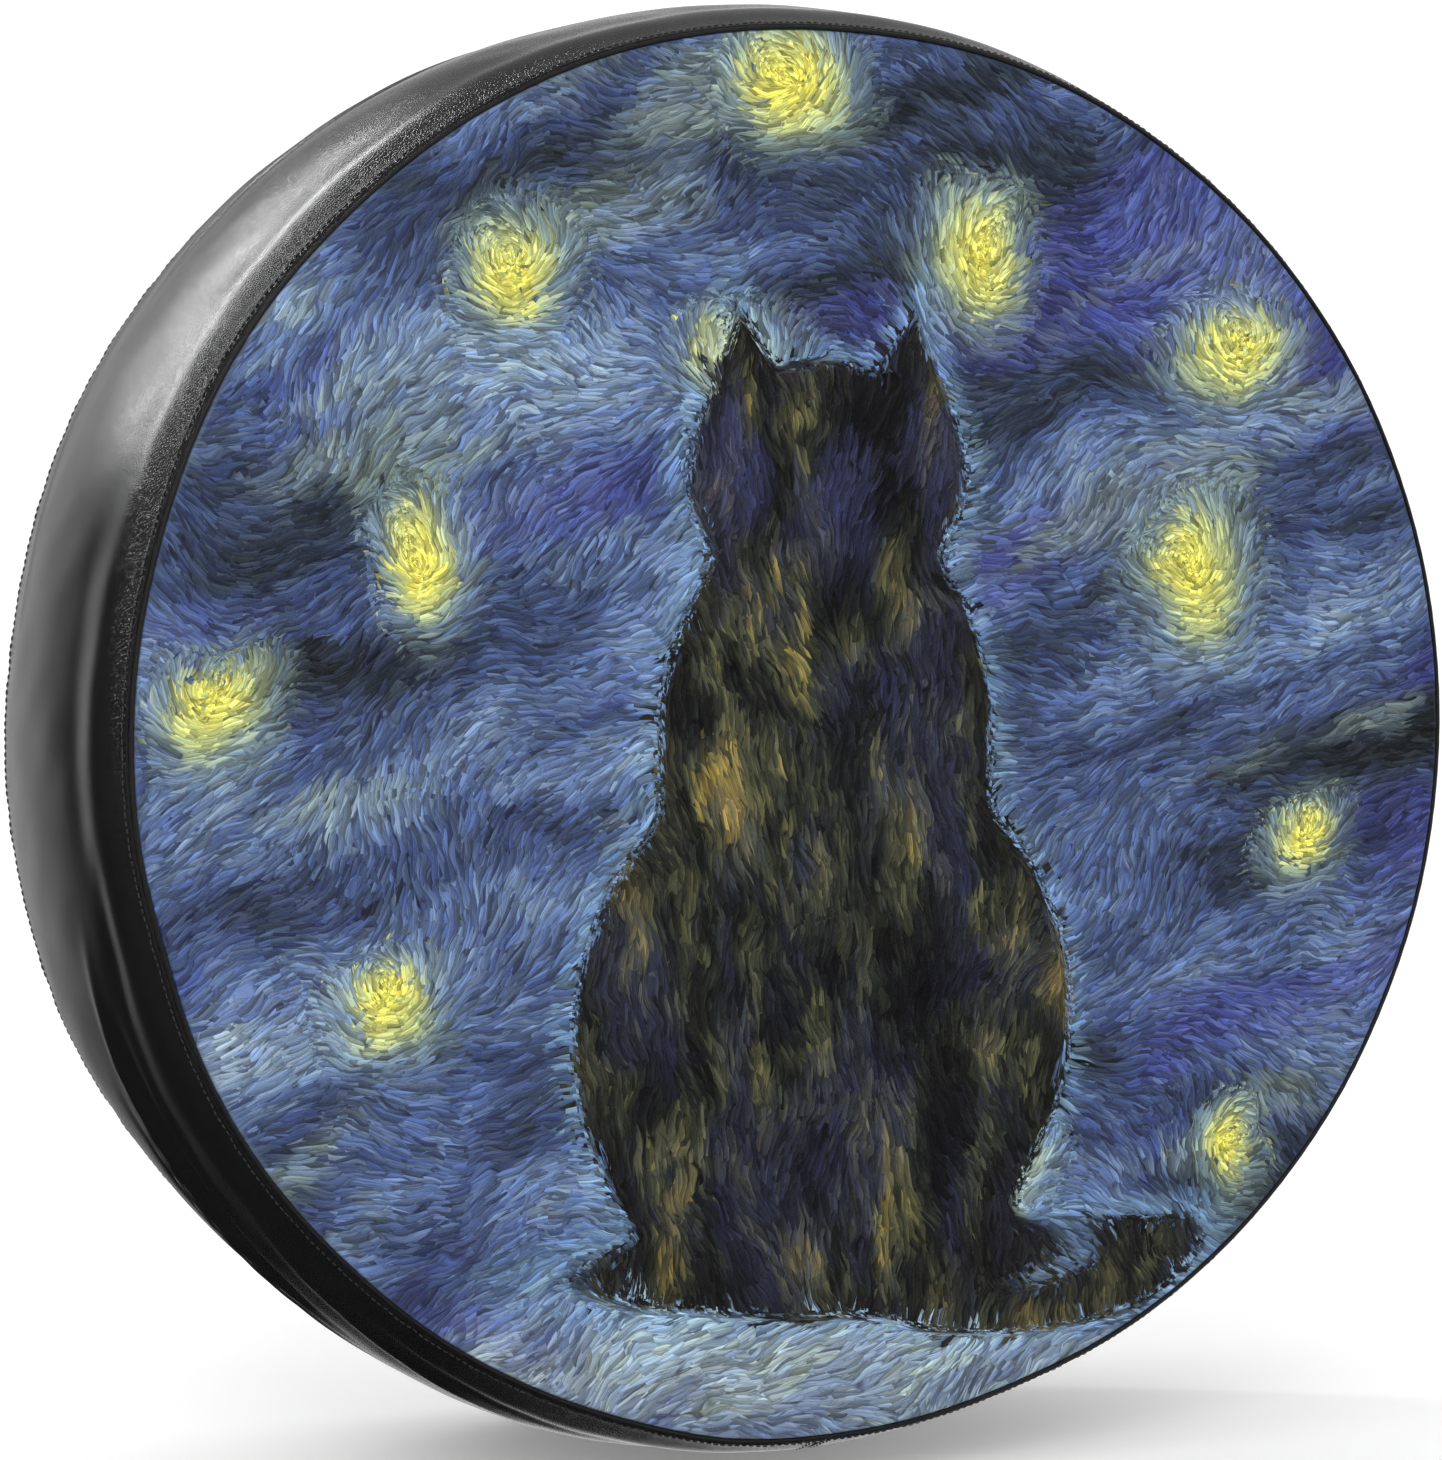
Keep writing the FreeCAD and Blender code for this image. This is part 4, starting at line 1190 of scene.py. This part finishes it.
def round_backdrop(lowest):
    """A pale round floor that curves up into a wall all round, hidden from the leather's reflections."""
    material, graph, shader = new_material("studio_paper", Roughness=0.9, Specular_IOR_Level=0.1,
                                           Emission_Color=(1, 1, 1, 1), Emission_Strength=0.20)
    mottle = graph.noise(graph.place(), 3.0, 3)
    graph.feed(shader["Base Color"], graph.ramp(mottle, (0.3, (0.87, 0.87, 0.87)), (0.7, (0.90, 0.90, 0.90))))
    turn = np.linspace(0, TURN / 4, 12)
    run = np.concatenate([[0.02, 1.0, 2.2], 3.4 + 1.4 * np.sin(turn), [4.8]])[:, None]
    rise = np.concatenate([np.zeros(3), 1.4 * (1 - np.cos(turn)), [2.6]])[:, None] + lowest
    angle = round_angles(96)
    points = np.stack(np.broadcast_arrays(run * np.cos(angle), run * np.sin(angle), rise), axis=2)
    floor = new_piece("floor", points, grid_faces(len(run), 96), material)
    floor.visible_glossy = False
    floor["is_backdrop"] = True


def room():
    """A white room. What the gloss mirrors is dimmer: a band of light round the horizon, and the sides."""
    world = bpy.data.worlds.new("room")
    bpy.context.scene.world = world
    world.use_nodes = True
    graph = Graph(world.node_tree)
    background = next(node for node in world.node_tree.nodes if node.type == "BACKGROUND")
    x, y, z = graph.split(graph.add("ShaderNodeTexCoord").outputs["Generated"])
    from_floor = graph.fit(graph.plus(z, graph.fit(x, 0.05, 0.32, 0.0, 0.31)), -0.40, -0.08)
    horizon = graph.times(from_floor, graph.fit(z, 0.36, 0.22, 0.35, 1.0))
    level = graph.plus(graph.fit(x, -0.50, -0.30, 0.02, 0.62), graph.fit(x, 0.14, 0.30, 0.0, 0.50))
    behind = graph.fit(y, -0.2, 0.2, 0.25, 1.0)
    beside = graph.times(graph.fit(graph.math("ABSOLUTE", x), 0.72, 0.95, 0.0, 0.42),
                         graph.fit(y, 0.42, 0.12))
    mirrored = graph.times_plus(graph.times(horizon, level), behind, 0.012)
    mirrored = graph.plus(mirrored, beside)
    glossy = graph.add("ShaderNodeLightPath").outputs["Is Glossy Ray"]
    graph.feed(background.inputs["Color"], (1.0, 1.0, 1.0, 1))
    graph.feed(background.inputs["Strength"], graph.mix_value(glossy, 0.90, mirrored))


def studio(lowest):
    """A pale floor and backdrop, a light room, and soft lights."""
    round_backdrop(lowest)
    room()
    soft_light("key", (-1.6, -3.0, 2.2), (0, 0, 0), (1.8, 1.8), 37)
    soft_light("fill", (2.0, -3.2, 0.4), (0, 0, 0), (2.0, 2.0), 14, glossy=False)
    soft_light("strip", (-0.93, 1.90, 1.31), (-0.30, -0.07, 0.21), (1.5, 0.16), 11.8,
               run=(-0.92, 0.03, -0.76))


def photo_camera():
    """The photograph's view: from the left, slightly above, with a long lens."""
    data = bpy.data.cameras.new("photo_camera")
    data.lens = 98.3
    data.shift_x, data.shift_y = -0.0117, -0.0032
    camera = bpy.data.objects.new("photo_camera", data)
    turned, raised, far = math.radians(-21.86), math.radians(2.80), 2.083
    back = Vector((math.sin(turned) * math.cos(raised), -math.cos(turned) * math.cos(raised),
                   math.sin(raised)))
    camera.location = back * far
    camera.rotation_euler = (-back).to_track_quat("-Z", "Y").to_euler()
    bpy.context.scene.collection.objects.link(camera)
    bpy.context.scene.camera = camera


def finish_cad_nodes(**materials):
    """Gives each CAD node that is left showing its material."""
    for start, material in materials.items():
        for name, node in frame["nodes"].items():
            if name.startswith(start):
                node.data.materials.clear()
                node.data.materials.append(material)


def main():
    band_leather = leather_material("grained_leather", (0.0062, 0.0062, 0.0066))
    piping_leather = leather_material("piping_leather", (0.007, 0.007, 0.0075), 0.8 * MM, 0.04 * MM,
                                      (0.28, 0.38))
    backing = woven_material("knit_backing", (0.30, 0.30, 0.31), 0.9 * MM)
    webbing = woven_material("webbing", (0.045, 0.045, 0.048), 1.1 * MM, weave="strip")
    elastic = woven_material("knitted_elastic", (0.62, 0.61, 0.58), 1.0 * MM, 0.2 * MM, "strip")
    thread = thread_material("black_thread", (0.022, 0.022, 0.024))
    cotton = thread_material("cotton_cord", (0.55, 0.52, 0.45))
    nickel = nickel_material("nickel")

    panel_skin(print_material(), backing)
    piping(piping_leather, cotton)
    band_skin(band_leather, backing)
    skirt, distance = rear_skirt(band_leather, backing)
    hem_tunnel(band_leather, backing)
    skirt_tree = BVHTree.FromPolygons([Vector(point) for point in skirt.reshape(-1, 3)],
                                      grid_faces(*skirt.shape[:2]).tolist())
    patches(band_leather, skirt_tree)
    patch_stitches(thread, skirt_tree)
    on_skirt = skirt_sampler(skirt, distance)
    sewn_rows(thread, on_skirt, distance)

    tape_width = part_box("band_seam_tape")[1].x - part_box("band_seam_tape")[0].x
    inside = -(LEATHER + TAPE_GAP)
    seam_tape("band_tape", "band_seam_tape", tape_width,
              lambda offset, rows: band_point(CROSS_SEAM + offset / CROWN_RADIUS, rows, inside),
              np.linspace(FOLD_Y + 6 * MM, CROSS_ROWS_END, 60), webbing)

    def inside_skirt(offset, rows):
        outside = on_skirt(CROSS_SEAM + offset / SKIRT_MIDDLE_RADIUS, rows)
        return outside * (INSIDE_SHARE, 1, INSIDE_SHARE) + (0, inside, 0)

    seam_tape("skirt_tape", "skirt_seam_tape", tape_width, inside_skirt,
              np.linspace(12 * MM, distance[-1] - 12 * MM, 40), webbing)
    finish_cad_nodes(hem_elastic=elastic, elastic_lap_thread=thread, grommet_eyelet=nickel,
                     grommet_washer=nickel)

    studio(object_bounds()[0].z)
    photo_camera()
    bpy.context.scene.view_settings.view_transform = "Standard"


main()
boxes = {"cad": cad_box, "visual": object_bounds()}
{name: [list(corner) for corner in box] for name, box in boxes.items()}
